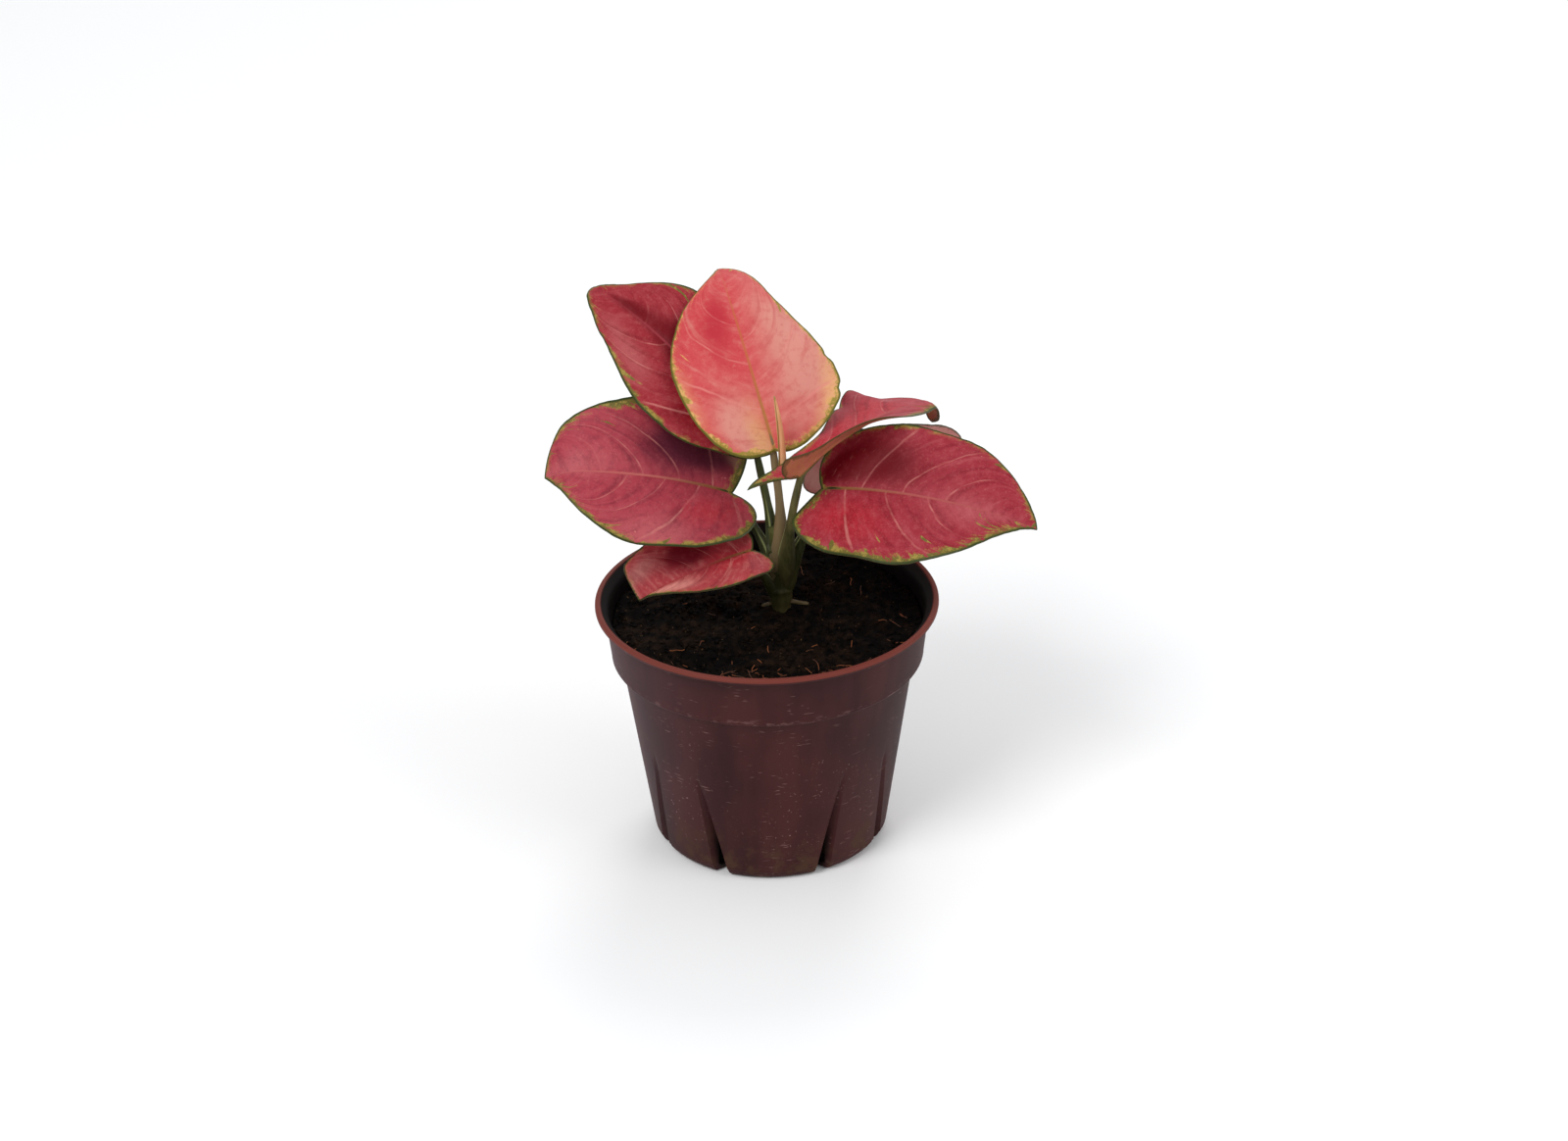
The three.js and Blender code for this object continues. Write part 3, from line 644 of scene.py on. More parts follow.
def pleated_revolve(t):
    """A profile line turned about Z, its wall folded in by V pleats that widen towards the foot."""
    sizes = {"Size X": 1.0, "Size Y": 1.0, "Vertices X": t["Sides"] + 1, "Vertices Y": t["Points"]}
    grid = t.add("GeometryNodeMeshGrid", sizes)
    here = t.add("GeometryNodeInputPosition")
    turn = (t.split(here, "X") + 0.5) * t["Pleats"]
    row = t.math("ROUND", (t.split(here, "Y") + 0.5) * (t["Points"] - 1))
    sample = {"Geometry": t["Geometry"], "Value": here, "Index": row}
    profile = t.add("GeometryNodeSampleIndex", sample, data_type="FLOAT_VECTOR")
    radius, height = t.split(profile, "X"), t.split(profile, "Z")
    on_wall = t.math("GREATER_THAN", radius, t["Foot Radius"] * 0.5)
    spacing = 2 * math.pi / t["Pleats"]
    pleat = t.math("FLOOR", turn + 1e-4) + 0.5
    share = t.math("ABSOLUTE", (turn - pleat) * 2)
    down = t.math("MAXIMUM", 0, 1 - height / t["Pleat Top"])
    half_angle = t["Pleat Half Width"] / t["Foot Radius"]
    half_angle = half_angle * (t["Top Share"] + (1 - t["Top Share"]) * down)
    inside = t.math("MINIMUM", 1, share / t["Fold Line"])
    outside = t.math("MAXIMUM", 0, (share - t["Fold Line"]) / (1 - t["Fold Line"]))
    offset = inside * half_angle + outside * (spacing * 0.5 - half_angle)
    angle = leaned(t, pleat * spacing + t.math("SIGN", turn - pleat) * offset, height)
    even = turn * spacing
    angle = even + on_wall * (angle - even)
    dented = radius - t["Pleat Depth"] * down * (1 - inside) * on_wall
    moved = {"Geometry": grid, "Position": t.around(dented, angle, height)}
    wall = t.add("GeometryNodeSetPosition", moved)
    return t.add("GeometryNodeMergeByDistance", {"Geometry": wall, "Distance": 1e-5})


def drain_slots(t):
    """Rounded slots cut through a wall, one at the foot of each pleat."""
    rod = t.add("GeometryNodeMeshCylinder", {"Vertices": 24, "Radius": 0.5, "Depth": 0.006})
    flat = {"Geometry": rod, "Scale": t.combine(t["Height"], t["Width"], 1.0)}
    lying = {"Geometry": t.add("GeometryNodeTransform", flat), "Rotation": (0, math.pi / 2, 0)}
    slot = t.add("GeometryNodeTransform", lying)
    angle = (t.add("GeometryNodeInputIndex") + 0.5) * (2 * math.pi / t["Pleats"])
    angle = leaned(t, angle, t["Middle"])
    ring = t.add("GeometryNodeMeshCircle", {"Vertices": t["Pleats"]})
    moved = {"Geometry": ring, "Position": t.around(t["Radius"], angle, t["Middle"])}
    slots = t.copies(t.add("GeometryNodeSetPosition", moved), slot, t.combine(z=angle))
    cut = {"Mesh 1": t["Geometry"], "Mesh 2": slots}
    return t.add("GeometryNodeMeshBoolean", cut, operation="DIFFERENCE", solver="EXACT")


def pleat_values(settings, material):
    """What both trees need to know about the pleats."""
    return {
        "Pleats": settings.pleats,
        "Pleat Top": PLEATS.top * MM,
        "Lean At Foot": math.radians(PLEATS.lean[0]),
        "Lean At Top": math.radians(PLEATS.lean[1]),
        "Material": material,
    }


def revolved(name, profile, settings, sides, material):
    points = [(r, 0, z) for r, z in profile]
    obj = mesh_object(name, points, [], edges=[(i, i + 1) for i in range(len(points) - 1)])
    values = {
        "Points": len(profile),
        "Sides": sides,
        "Pleat Depth": settings.pleat_depth,
        "Pleat Half Width": settings.pleat_half_width,
        "Top Share": PLEATS.top_share,
        "Fold Line": PLEATS.fold_line,
        "Foot Radius": POT.foot * MM,
    }
    run_tree(obj, pleated_revolve, {**pleat_values(settings, material), **values})
    point_outwards(obj.data)
    return obj


def sheltered(places):
    """How much painted shade each place of the pot gets, 0 to 1: inside the wall above the soil, and in the
    foot of a pleat.
    """
    outer = {
        0: POT.foot - POT.foot_round,
        0.3 * POT.foot_round: POT.foot - 0.3 * POT.foot_round,
        POT.foot_round: body_radius(POT.foot_round),
        COLLAR_FOOT - 0.5: POT.body_top,
        COLLAR_FOOT + 0.5: POT.collar_foot,
        RIM_FOOT - 0.4: POT.collar_top,
        RIM_FOOT: POT.lip_radius - 1.4,
        POT.height: POT.lip_radius - 1.2,
    }
    level = places[:, 2]
    depth = np.interp(level, list(outer), list(outer.values())) - np.hypot(places[:, 0], places[:, 1])
    # Painted shade on the inside of the wall above the soil
    painted_shade = smoothstep(level, 60, 66) * smoothstep(depth, 0.35, 0.75)
    # Painted shade in the foot of each pleat
    pleat_shade = smoothstep(depth, 0.8, 2.8) * smoothstep(level, 0.1, 1) * (1 - smoothstep(level, 9, 22))
    return np.maximum(painted_shade, pleat_shade)


def build_pot(settings):
    material = pot_material(settings)
    pot = revolved("pot_wall", pot_profile(), settings, POT.sides, material)
    values = {
        "Radius": POT.foot * MM - settings.pleat_depth,
        "Width": DRAIN.width * MM,
        "Height": DRAIN.height * MM,
        "Middle": (POT.floor + DRAIN.lift + DRAIN.height / 2) * MM,
    }
    run_tree(pot, drain_slots, {**pleat_values(settings, material), **values})
    # Painted shade: how much of the shade colour each place of the pot gets
    set_attribute(pot.data, "painted_shade", sheltered(vertex_places(pot.data)))
    pot.data.shade_smooth()
    pot.data.set_sharp_from_angle(angle=math.radians(30))
    place_piece(pot, "pot")


def pot_material(settings):
    """Thin brown-red plastic with an orange lip, dust, scratches and dirt near its foot, painted shade inside
    above the soil and in the feet of its pleats, and a painted sheen on its left side.
    """
    m = Shader("nursery_pot", settings.colour)
    height, collar_foot, scuff_colour = m.split(m.place, "Z"), COLLAR_FOOT * MM, "8d6c68"
    cloud = m.noise(m.place, 30, 3)
    streaks = m.noise(m.stretched(1, 1, 0.12), 90, 3)
    m.paint(m.ramp(cloud * 0.5 + streaks * 0.5, 0.35, 0.65), settings.colour_light)
    specks = m.spots(1100, 2, 0.66, 0.74, 0.6)
    m.paint(specks * m.spots(60, 2, 0.4, 0.65) * m.ramp(height, 0.075, 0.03) * settings.dust, "9c7f7a")
    drawn = m.vector_math("MULTIPLY", m.shifted(m.place, 60, 0.004), (0.3, 0.3, 2.2))
    scratches = m.ramp(m.noise(drawn, 800, 1), 0.66, 0.74) * m.spots(90, 1, 0.48, 0.62)
    m.paint(scratches * 0.4, scuff_colour)
    dirt = (1 - m.ramp(height, 0.003, 0.024)) * m.spots(160, 4, 0.45, 0.66, 0.65)
    m.paint(dirt * 0.7, "4c3524")
    scuffed = m.ramp(m.noise(m.stretched(1, 1, 3), 260, 4, 0.7), 0.52, 0.66)
    scuffed = scuffed * m.ramp(height, collar_foot - 0.002, collar_foot)
    scuffed = scuffed * m.ramp(height, collar_foot + 0.003, collar_foot + 0.001)
    m.paint(scuffed * 0.22, scuff_colour)
    # Painted sheen: the left side of the pot paler and bluer
    m.paint(m.ramp(m.split(m.place, "X"), -0.015, -0.055) * 0.16, "6a5560")
    m.paint(m.ramp(height, (POT.height - 1.4) * MM, (POT.height - 0.8) * MM), settings.lip_colour)
    # Painted shade: the inside of the wall above the soil and the feet of the pleats darkened
    m.paint(m.attribute("painted_shade"), settings.inner_colour)
    roughness = 0.5 + 0.14 * cloud + 0.2 * specks + 0.15 * dirt
    relief = streaks * 0.4 + specks * 0.5 + scratches * 0.3
    return m.finish(roughness, relief, distance=0.0001, strength=0.4, specular=0.14)


def soil_height(x, y):
    coarse = np.sin(0.19 * x + 1.3) * np.cos(0.23 * y - 0.4)
    medium = np.sin(0.43 * x - 0.7 * y + 0.5) * np.sin(0.39 * y + 0.31 * x)
    fine = np.sin(1.1 * x + 2) * np.cos(0.9 * y + 1)
    free = smoothstep(np.hypot(x - STEM.x, y - STEM.y), 1.5 * STEM.radius, 4 * STEM.radius)
    return SOIL.level + free * SOIL.unevenness * (0.55 * coarse + 0.4 * medium + 0.25 * fine)


def crumble(x, y):
    """Clods and pits of the soil's surface."""
    big = noise.fractal(Vector((x * 0.16, y * 0.16, 3)), 0.9, 2.1, 4)
    clods = noise.noise(Vector((x * 0.38, y * 0.38, 5)))
    return 1.1 * big + 2.6 * clods * abs(clods) + 0.6 * noise.noise(Vector((x * 0.9, y * 0.9, 7)))


def build_soil(pot_settings, settings):
    material = soil_material(settings)
    soil = revolved("soil_bed", soil_profile(), pot_settings, SOIL.sides, material)
    places = vertex_places(soil.data)
    top = places[:, 2] > SOIL.level - 0.01
    for i in np.flatnonzero(top):
        x, y = places[i, :2]
        places[i, 2] = soil_height(x, y) + crumble(x, y)
    soil.data.vertices.foreach_set("co", (places * MM).ravel())
    x, y = places[:, 0], places[:, 1]
    litter = np.zeros(len(places))
    for at_x, at_y, size in LITTER:
        litter += 1.6 * np.exp(-((x - at_x) ** 2 + (y - at_y) ** 2) / size**2)
    littered = top & (np.hypot(x, y) < SOIL.litter_radius)
    set_attribute(soil.data, "litter", np.where(littered, np.clip(litter + 0.02, 0, 1.5), 0))
    from_stem = np.hypot(x - STEM.x, y - STEM.y)
    set_attribute(soil.data, "open_soil", top & (from_stem > SOIL.stem_clearance))
    soil.data.shade_smooth()
    place_piece(soil, "soil")
    crumbs = {
        "Density": settings.crumb_density,
        "Size": settings.crumb_size,
        "Seed": 11,
        "Material": material,
    }
    scatter(soil, "soil_crumbs", peat_crumbs, crumbs)
    fibres = {
        "Density": settings.fibre_density,
        "Length": FIBRE.length * MM,
        "Radius": FIBRE.radius * MM,
        "Bend": FIBRE.bend * MM,
        "Seed": 5,
        "Material": fibre_material(settings),
    }
    scatter(soil, "soil_fibres", coir_fibres, fibres)


def scatter(soil, name, build, values):
    """A piece made of many small ones that lie on the soil."""
    piece = scene_object(name, soil.data.copy())
    run_tree(piece, build, values)
    piece.data.shade_smooth()
    place_piece(piece)


def peat_crumbs(t):
    """Rough crumbs of peat scattered over the open soil."""
    ball = t.add("GeometryNodeMeshIcoSphere", {"Radius": 1.0, "Subdivisions": 2})
    stretch = t.random_vector((0.35, 0.3, 0.2), (1.3, 0.9, 0.6), t["Seed"])
    scale = t.vector_math("SCALE", stretch, t["Size"])
    turn = t.random_vector((0, 0, 0), (0.5, 0.5, 6.28), t["Seed"] + 1)
    crumbs = t.scattered(ball, "open_soil", turn, scale)
    rough = t.push(t.add("GeometryNodeInputPosition"), 900, 2, t["Size"] * 1.1)
    return t.add("GeometryNodeSetPosition", {"Geometry": crumbs, "Offset": rough})


def coir_fibres(t):
    """Thin bent fibres lying on the soil, thickest where the litter is."""
    fibre = t.add("GeometryNodeCurvePrimitiveLine", {"End": t.combine(t["Length"])})
    fibre = t.add("GeometryNodeResampleCurve", {"Curve": fibre, "Count": 10})
    turn = t.random_vector((0, -0.25, 0), (0, 0.1, 6.28), t["Seed"])
    range_and_seed = {2: 0.3, 3: 1.2, 8: t["Seed"] + 2}
    scale = t.add("FunctionNodeRandomValue", range_and_seed, 1, data_type="FLOAT")
    fibres = t.scattered(fibre, "litter", turn, scale)
    wander = t.push(t.add("GeometryNodeInputPosition"), 160, 1, t["Bend"], middle=0.42)
    bent = t.add("GeometryNodeSetPosition", {"Geometry": fibres, "Offset": wander})
    ring = t.add("GeometryNodeCurvePrimitiveCircle", {"Resolution": 5, "Radius": t["Radius"]})
    return t.add("GeometryNodeCurveToMesh", {"Curve": bent, "Profile Curve": ring, "Fill Caps": True})


def soil_material(settings):
    """Dark peat with browner crumbs."""
    m = Shader("peat", settings.colour)
    tone = m.noise(m.place, 260, 4, 0.6)
    m.paint(m.ramp(tone * 0.7 + m.noise(m.place, 45, 2) * 0.3, 0.45, 0.66), settings.colour_light)
    m.paint(m.spots(900, 1, 0.73, 0.78) * 0.5, "7a5a3c")
    relief = m.noise(m.place, 1300, 5, 0.7) * 0.5 + tone
    return m.finish(0.95, relief, distance=0.0015, strength=0.9, specular=0.08)


def fibre_material(settings):
    """Coir fibres, orange to dark brown."""
    m = Shader("coir_fibre", settings.fibre_colour)
    m.paint(m.spots(130, 2, 0.4, 0.62), "4a2a16")
    return m.finish(0.8, m.noise(m.place, 3000, 1), distance=0.0001)


# Leaves


def heading_vector(heading, rise):
    h, r = math.radians(heading), math.radians(rise)
    return np.array([math.cos(h) * math.cos(r), math.sin(h) * math.cos(r), math.sin(r)])


def turned(vector, axis, angle):
    across = axis * np.dot(axis, vector) * (1 - math.cos(angle))
    return vector * math.cos(angle) + np.cross(axis, vector) * math.sin(angle) + across


def midrib_frames(leaf, steps=144):
    """Point, direction along the midrib and direction out of the upper face, from base to tip."""
    along = heading_vector(leaf.heading, leaf.rise)
    up = turned(heading_vector(leaf.heading, leaf.rise + 90), along, math.radians(leaf.roll))
    point = np.array(leaf.base, float)
    frames = [np.array([point, along, up])]
    for i in range(steps):
        u = (i + 0.5) / steps
        point = point + along * leaf.length / steps
        hook = leaf.hook / (1 - leaf.hook_at) if u > leaf.hook_at else 0
        down = math.radians(leaf.arch * (1 + leaf.arch_bias * (2 * u - 1)) + hook) / steps
        right = np.cross(along, up)
        along, up = turned(along, right, -down), turned(up, right, -down)
        along = turned(along, up, math.radians(leaf.sway) / steps)
        frames.append(np.array([point, along, up]))
    return np.array(frames)


def frames_at(frames, share):
    place = np.clip(share, 0, 1) * (len(frames) - 1)
    index = np.minimum(place.astype(int), len(frames) - 2)
    weight = (place - index)[..., None, None]
    mixed = frames[index] * (1 - weight) + frames[index + 1] * weight
    return mixed[..., 0, :], unit(mixed[..., 1, :]), unit(mixed[..., 2, :])


def spline(values, share):
    """A smooth curve through evenly spaced values, at a share of its length."""
    values = np.asarray(values, float)
    last = len(values) - 1
    place = np.clip(share, 0, 1) * last
    index = np.minimum(place.astype(int), last - 1)
    t = place - index
    before, start, end = values[np.maximum(index - 1, 0)], values[index], values[index + 1]
    after = values[np.minimum(index + 2, last)]
    leaving, arriving = (end - before) / 2, (after - start) / 2
    cubic = (2 * start - 2 * end + leaving + arriving) * t**3
    return cubic + (3 * end - 3 * start - 2 * leaving - arriving) * t**2 + leaving * t + start


def margin(leaf, side, theta):
    """Distance along and across the flat blade of its margin, theta from 0 at the base to pi."""

    def width(angle):
        return np.sin(angle) * np.cos(angle / 2) ** side.taper

    widest = math.acos(side.taper / (2 + side.taper))
    lobe = leaf.length * side.lobe * np.sin(2 * np.minimum(theta, math.pi / 2))
    along = leaf.length * (1 - np.cos(theta)) / 2 - lobe
    half_width = leaf.width / 2 * side.width * spline(side.trim, theta / math.pi)
    return along, half_width * width(theta) / width(widest)


def margin_detail(leaf, sign, theta):
    """How far a margin stands out from its smooth outline: a little unevenness, and its nicks."""
    share = theta / math.pi
    out = np.zeros_like(share)
    for waves, height in ((16, 0.3), (45, 0.16)):
        lumps = [noise.noise(Vector((s * waves, leaf.heading, sign))) for s in share.ravel()]
        out += height * np.reshape(lumps, share.shape)
    for side, place, depth in leaf.nicks:
        if side == sign:
            out -= depth * np.exp(-(((share - place) / 0.012) ** 2))
    return out * smoothstep(np.sin(theta), 0, 0.3)


def bent_points(leaf, side, sign, frames, along, across):
    """Bends points of the flat blade into place; sign is -1 on the left half and 1 on the right."""
    half_width = leaf.width / 2
    u = np.clip(along / leaf.length, 0, 1)
    t = across / half_width
    start, middle, end = side.fold
    fold = np.radians(start * (1 - u) ** 2 + 2 * middle * u * (1 - u) + end * u**2)
    curl = np.radians(side.curl[0] + (side.curl[1] - side.curl[0]) * u)
    curl = np.where(np.abs(curl) < 1e-3, 1e-3, curl)
    outward = half_width * (np.sin(fold + curl * t) - np.sin(fold)) / curl
    height, waves, phase = side.wave
    wave = height * t**2 * np.sin(2 * math.pi * (waves * along / leaf.length + phase))
    upward = half_width * (np.cos(fold) - np.cos(fold + curl * t)) / curl + wave
    point, forward, up = frames_at(frames, along / leaf.length)
    right = np.cross(forward, up)
    point = point + forward * np.minimum(0, along)[..., None]
    return point + right * (sign * outward)[..., None] + up * upward[..., None]


def vein_count(u, v, strength):
    """Counts the side veins between the base and a point at the share u of the length.
    A vein leaves the midrib at v = 0 and bends towards the tip on its way to the margin at v = 1."""
    starts = np.linspace(-0.4, 1, 400)
    lean = np.clip(strength * starts - 0.02, -0.6, 0.88)
    counts = np.empty_like(u)
    for j, share in enumerate(v):
        reached = starts + (1 - starts) * lean * share**1.5
        counts[:, j] = np.interp(u[:, j], reached, starts)
    return counts


def tone_patches(leaf, kind, u, v):
    total = np.zeros_like(u)
    for tone, at_u, at_v, size, strength in leaf.tones:
        if tone == kind:
            total += strength * np.exp(-((u - at_u) ** 2 + (0.5 * (v - at_v)) ** 2 * 2) / size**2 * 1.5)
    return np.clip(total, 0, 1)


def blade_half(leaf, side, sign, frames, rows, cells):
    """Points of one half from the midrib outwards, rows+1 x cells+1, and what its colours follow."""
    theta = np.linspace(0, math.pi, rows + 1)[:, None]
    on_midrib = leaf.length * (1 - np.cos(theta)) / 2
    v = np.linspace(0, 1, cells + 1)[None, :] ** 1.25
    margin_along, margin_across = margin(leaf, side, theta)
    margin_across = margin_across + margin_detail(leaf, sign, theta)
    along = on_midrib + (margin_along - on_midrib) * v
    across = margin_across * v
    rim = np.stack([margin_along[:, 0], margin_across[:, 0]], axis=1)
    flat = np.stack([along, across], axis=-1)
    edge = np.min(np.linalg.norm(flat[:, :, None] - rim[None, None], axis=-1), axis=-1)
    u = along / leaf.length
    columns = {
        "along": u,
        "across": across,
        "edge": edge,
        "vein": vein_count(u, v[0], leaf.vein_lean) * VEINS_A_SIDE + (0.4 if sign > 0 else 0),
        "band": np.interp(u, (0, 0.25, 0.5, 0.75, 1), side.band),
        **{kind: tone_patches(leaf, kind, u, sign * (v + 0 * u)) for kind in TONES},
    }
    return {"point": bent_points(leaf, side, sign, frames, along, across), **columns}


def row_faces(index):
    """Quads and pole triangles of a grid of indices."""
    faces = []
    for upper, lower in zip(index[:-1].tolist(), index[1:].tolist()):
        for corners in zip(upper[:-1], upper[1:], lower[1:], lower[:-1]):
            corners = tuple(dict.fromkeys(corners))
            if len(corners) > 2:
                faces.append(corners)
    return faces


def surface_normals(points, faces):
    normals = np.zeros_like(points)
    for size in (3, 4):
        block = np.array([f for f in faces if len(f) == size])
        a, b, c, d = (points[block[:, i]] for i in (0, 1, 2, size - 1))
        normal = np.cross(b - a, c - a) + np.cross(c - a, d - a)
        for corner in range(size):
            np.add.at(normals, block[:, corner], normal)
    return unit(normals)


def blade_faces(points, normals, flat, settings):
    """Points of the upper and the lower face: quilted between the side veins, with a groove over
    the midrib and a keel under it."""
    u, across, edge = flat["along"], flat["across"], flat["edge"]
    inside = smoothstep(edge, 0.5, 4)
    between_veins = smoothstep(np.abs(flat["vein"] - np.round(flat["vein"])), 0, 0.4)
    quilt = settings.quilting / MM * (between_veins - 0.5) * inside * smoothstep(across, 0.4, 2)
    ripple = 0.22 * inside * np.array([noise.noise(Vector(p * 0.09)) for p in points])
    share = 1 - 0.7 * u
    groove = 0.22 * share * np.exp(-((across / 0.7) ** 2))
    keel = 0.85 * share * np.exp(-((across / (0.5 + 0.8 * share)) ** 2)) * smoothstep(u, -0.01, 0.03)
    thickness = settings.thickness / MM * (0.6 + 0.4 * smoothstep(edge, 0, 1.2))
    top = points + normals * (quilt + ripple - groove + thickness / 2)[:, None]
    bottom = points + normals * (quilt + ripple - keel - thickness / 2)[:, None]
    return np.vstack([top, bottom])


def build_leaf(letter, settings):
    leaf, rows, cells = LEAVES[letter], settings.rows, settings.cells
    frames = midrib_frames(leaf)
    left = blade_half(leaf, leaf.left, -1, frames, rows, cells)
    right = blade_half(leaf, leaf.right, 1, frames, rows, cells)
    # The first and the last row are one point each
    index = np.arange((rows + 1) * (2 * cells + 1)).reshape(rows + 1, -1)
    index[0], index[-1] = index[0, cells], index[-1, cells]
    used, compact = np.unique(index, return_inverse=True)
    index = compact.reshape(index.shape)
    flat = {}
    for key in left:
        whole = np.concatenate([left[key][:, :0:-1], right[key]], axis=1)
        flat[key] = whole.reshape(-1, *whole.shape[2:])[used]
    points = flat.pop("point")
    faces = row_faces(index)
    normals = surface_normals(points, faces)
    # The whole margin, from the base round the tip and back
    rim = np.concatenate([index[:, 0], index[-2::-1, -1]]).tolist()
    if np.dot(normals[index[rows // 2, cells]], frames[len(frames) // 2][2]) < 0:
        faces, rim, normals = [face[::-1] for face in faces], rim[::-1], -normals
    count = len(points)
    faces += [tuple(i + count for i in face[::-1]) for face in faces]
    faces += [(b, a, a + count, b + count) for a, b in zip(rim[:-1], rim[1:])]
    attributes = {key: np.tile(values, 2) for key, values in flat.items()}
    attributes["upper"] = np.repeat([1, 0], count)
    name = f"blade_{letter}"
    material = leaf_material(name, LEAF_COLOURS[letter], settings)
    both = blade_faces(points, normals, flat, settings)
    piece = mesh_object(name, both, faces, material, attributes)
    point_outwards(piece.data)
    place_piece(piece, f"leaf_{letter}")


def leaf_veins(m, settings, flow, wander):
    """Side veins, and short flecks that run the same way, 0 to 1."""
    count = m.attribute("vein") + wander * 0.26
    nearest = m.math("ROUND", count)
    apart = m.math("ABSOLUTE", count - nearest) * VEIN_SPACING
    spot = m.combine(nearest * 0.37, m.attribute("across") * 0.05)
    each = m.ramp(m.noise(spot, 4.0, 2), 0.36, 0.62) * 0.75 + 0.25
    each = each * (1 - m.ramp(nearest, VEINS_A_SIDE * 0.6, VEINS_A_SIDE * 0.85))
    broken = m.spots(120, 3, 0.36, 0.56, 0.6) * 0.6 + 0.4
    width = settings.vein_width / MM
    main = (1 - m.ramp(apart, width * 0.3, width * 1.5)) * each * broken
    flecks = m.ramp(m.noise(m.shifted(flow, 0.5, 1.5), 1.5, 3, 0.7), 0.6, 0.74)
    return main, flecks * m.spots(90, 2, 0.48, 0.62)


def paint_blade(m, tint, cloud, streaks):
    """The upper face inside its margin: soft patches of several reds, some of them painted shade and painted
    highlights, mottled along the veins.
    """
    mottle = m.noise(m.place, 420, 4, 0.65)
    # The dark patches, partly painted shade; lit keeps paler marks out of them
    dark = m.ramp(m.attribute("dark") + cloud * 0.5, 0.05, 0.8)
    lit = 1 - dark * 0.8
    m.paint(dark, tint["dark"])
    # Among these, the pale patches on leaf C are painted highlights, and the mauve one by leaf F's tip is
    # painted shade with a sheen
    for kind in ("bright", "pale", "faded"):
        m.paint(m.ramp(m.attribute(kind) + cloud * 0.5, 0.1, 0.95) * 0.9, tint[kind])
    m.paint(m.ramp(streaks, 0.5, 0.75) * lit * 0.4, tint["pale"])
    m.paint(m.ramp(streaks, 0.5, 0.28) * 0.4, tint["dark"])
    m.paint(m.ramp(mottle, 0.5, 0.68) * lit * 0.22, tint["pale"])
    m.paint(m.ramp(mottle, 0.5, 0.34) * 0.22, tint["dark"])
    m.paint(m.spots(1500, 3, 0.52, 0.72, 0.6) * lit * 0.16, tint["vein"])


def leaf_material(name, tint, settings):
    """A red blade with paler veins, a green margin that runs in along them, and a paler underside."""
    m = Shader(name, tint["red"])
    edge, across, along = m.attribute("edge"), m.attribute("across"), m.attribute("along")
    band, upper = m.attribute("band"), m.attribute("upper")
    # Millimetres across the side veins and, shortened, along them
    flow = m.combine(m.attribute("vein") * VEIN_SPACING, across * 0.2, upper * 5)
    cloud = m.noise(m.place, 55, 3) - 0.5
    streaks = m.noise(flow, 0.45, 4, 0.6)
    main, flecks = leaf_veins(m, settings, flow, cloud)
    veins = m.math("MAXIMUM", main * 0.62, flecks * 0.24) * m.ramp(edge, 0, 4)
    paint_blade(m, tint, cloud, streaks)
    m.paint(veins, tint["vein"])
    rib_width = 0.62 - along * 0.4
    rib = (1 - m.ramp(across, rib_width * 0.4, rib_width * 1.4)) * (1 - m.ramp(along, 0.5, 0.95) * 0.8)
    m.paint(rib * 0.8, m.mix(m.ramp(along, 0.05, 0.5), tint["rib_foot"], tint["rib"]))
    m.paint(m.spots(700, 1, 0.79, 0.83) * 0.6, tint["vein"])
    tongues = m.noise(flow, 0.6, 3, 0.65) - 0.5
    ragged = m.noise(m.place, 520, 4, 0.7) - 0.5
    broad = m.noise(m.place, 60, 2) - 0.5
    splash = m.ramp(m.noise(m.shifted(flow, 0.7, 1.0), 0.42, 2), 0.6, 0.74)
    reach = band * (0.8 + broad * 2.2 + tongues * 2.6 + ragged * 2.2 + splash * 2.2)
    halo = (1 - m.ramp(edge - reach, -0.3, 1.2)) * m.ramp(tongues + ragged * 0.6, -0.1, 0.14)
    m.paint(halo * 0.5, tint["fringe"])
    green = 1 - m.ramp(edge - reach, -0.4, 0.15)
    yellow = m.ramp(ragged + tongues * 0.7, 0.0, 0.14)
    m.paint(green * 0.88, m.mix(yellow * 0.85, tint["green"], tint["fringe"]))
    thin = 0.3 + band * 0.14 + broad * 0.5 + ragged * 0.7
    outline = 1 - m.ramp(edge - thin, -0.15, 0.3)
    m.paint(outline * 0.9, tint["edge"])
    face, m.colour = m.colour, tint["under"]
    m.paint(m.ramp(streaks, 0.4, 0.7) * 0.5, tint["pale"])
    m.paint(m.spots(380, 4, 0.5, 0.36, 0.65) * 0.25, tint["red"])
    # The dark patches, partly painted shade, show faintly on the underside too
    m.paint(m.ramp(m.attribute("dark"), 0.1, 0.9) * 0.3, tint["dark"])
    m.paint(veins * 0.75, tint["vein"])
    m.paint(rib * 0.85, tint["rib_foot"])
    m.paint(m.math("MAXIMUM", green * 0.6, outline * 0.8), tint["edge"])
    m.paint(upper, face)
    grain = m.noise(m.place, 1300, 3, 0.6)
    relief = grain * 0.3 + streaks * 0.5 - main * 0.5
    return m.finish(0.42 + 0.14 * grain, relief, distance=0.0002, strength=0.4, specular=0.12)


# Stem, petioles and the rolled young leaf


def bezier(points, s):
    p0, p1, p2, p3 = points
    return p0 * (1 - s) ** 3 + 3 * p1 * s * (1 - s) ** 2 + 3 * p2 * s**2 * (1 - s) + p3 * s**3


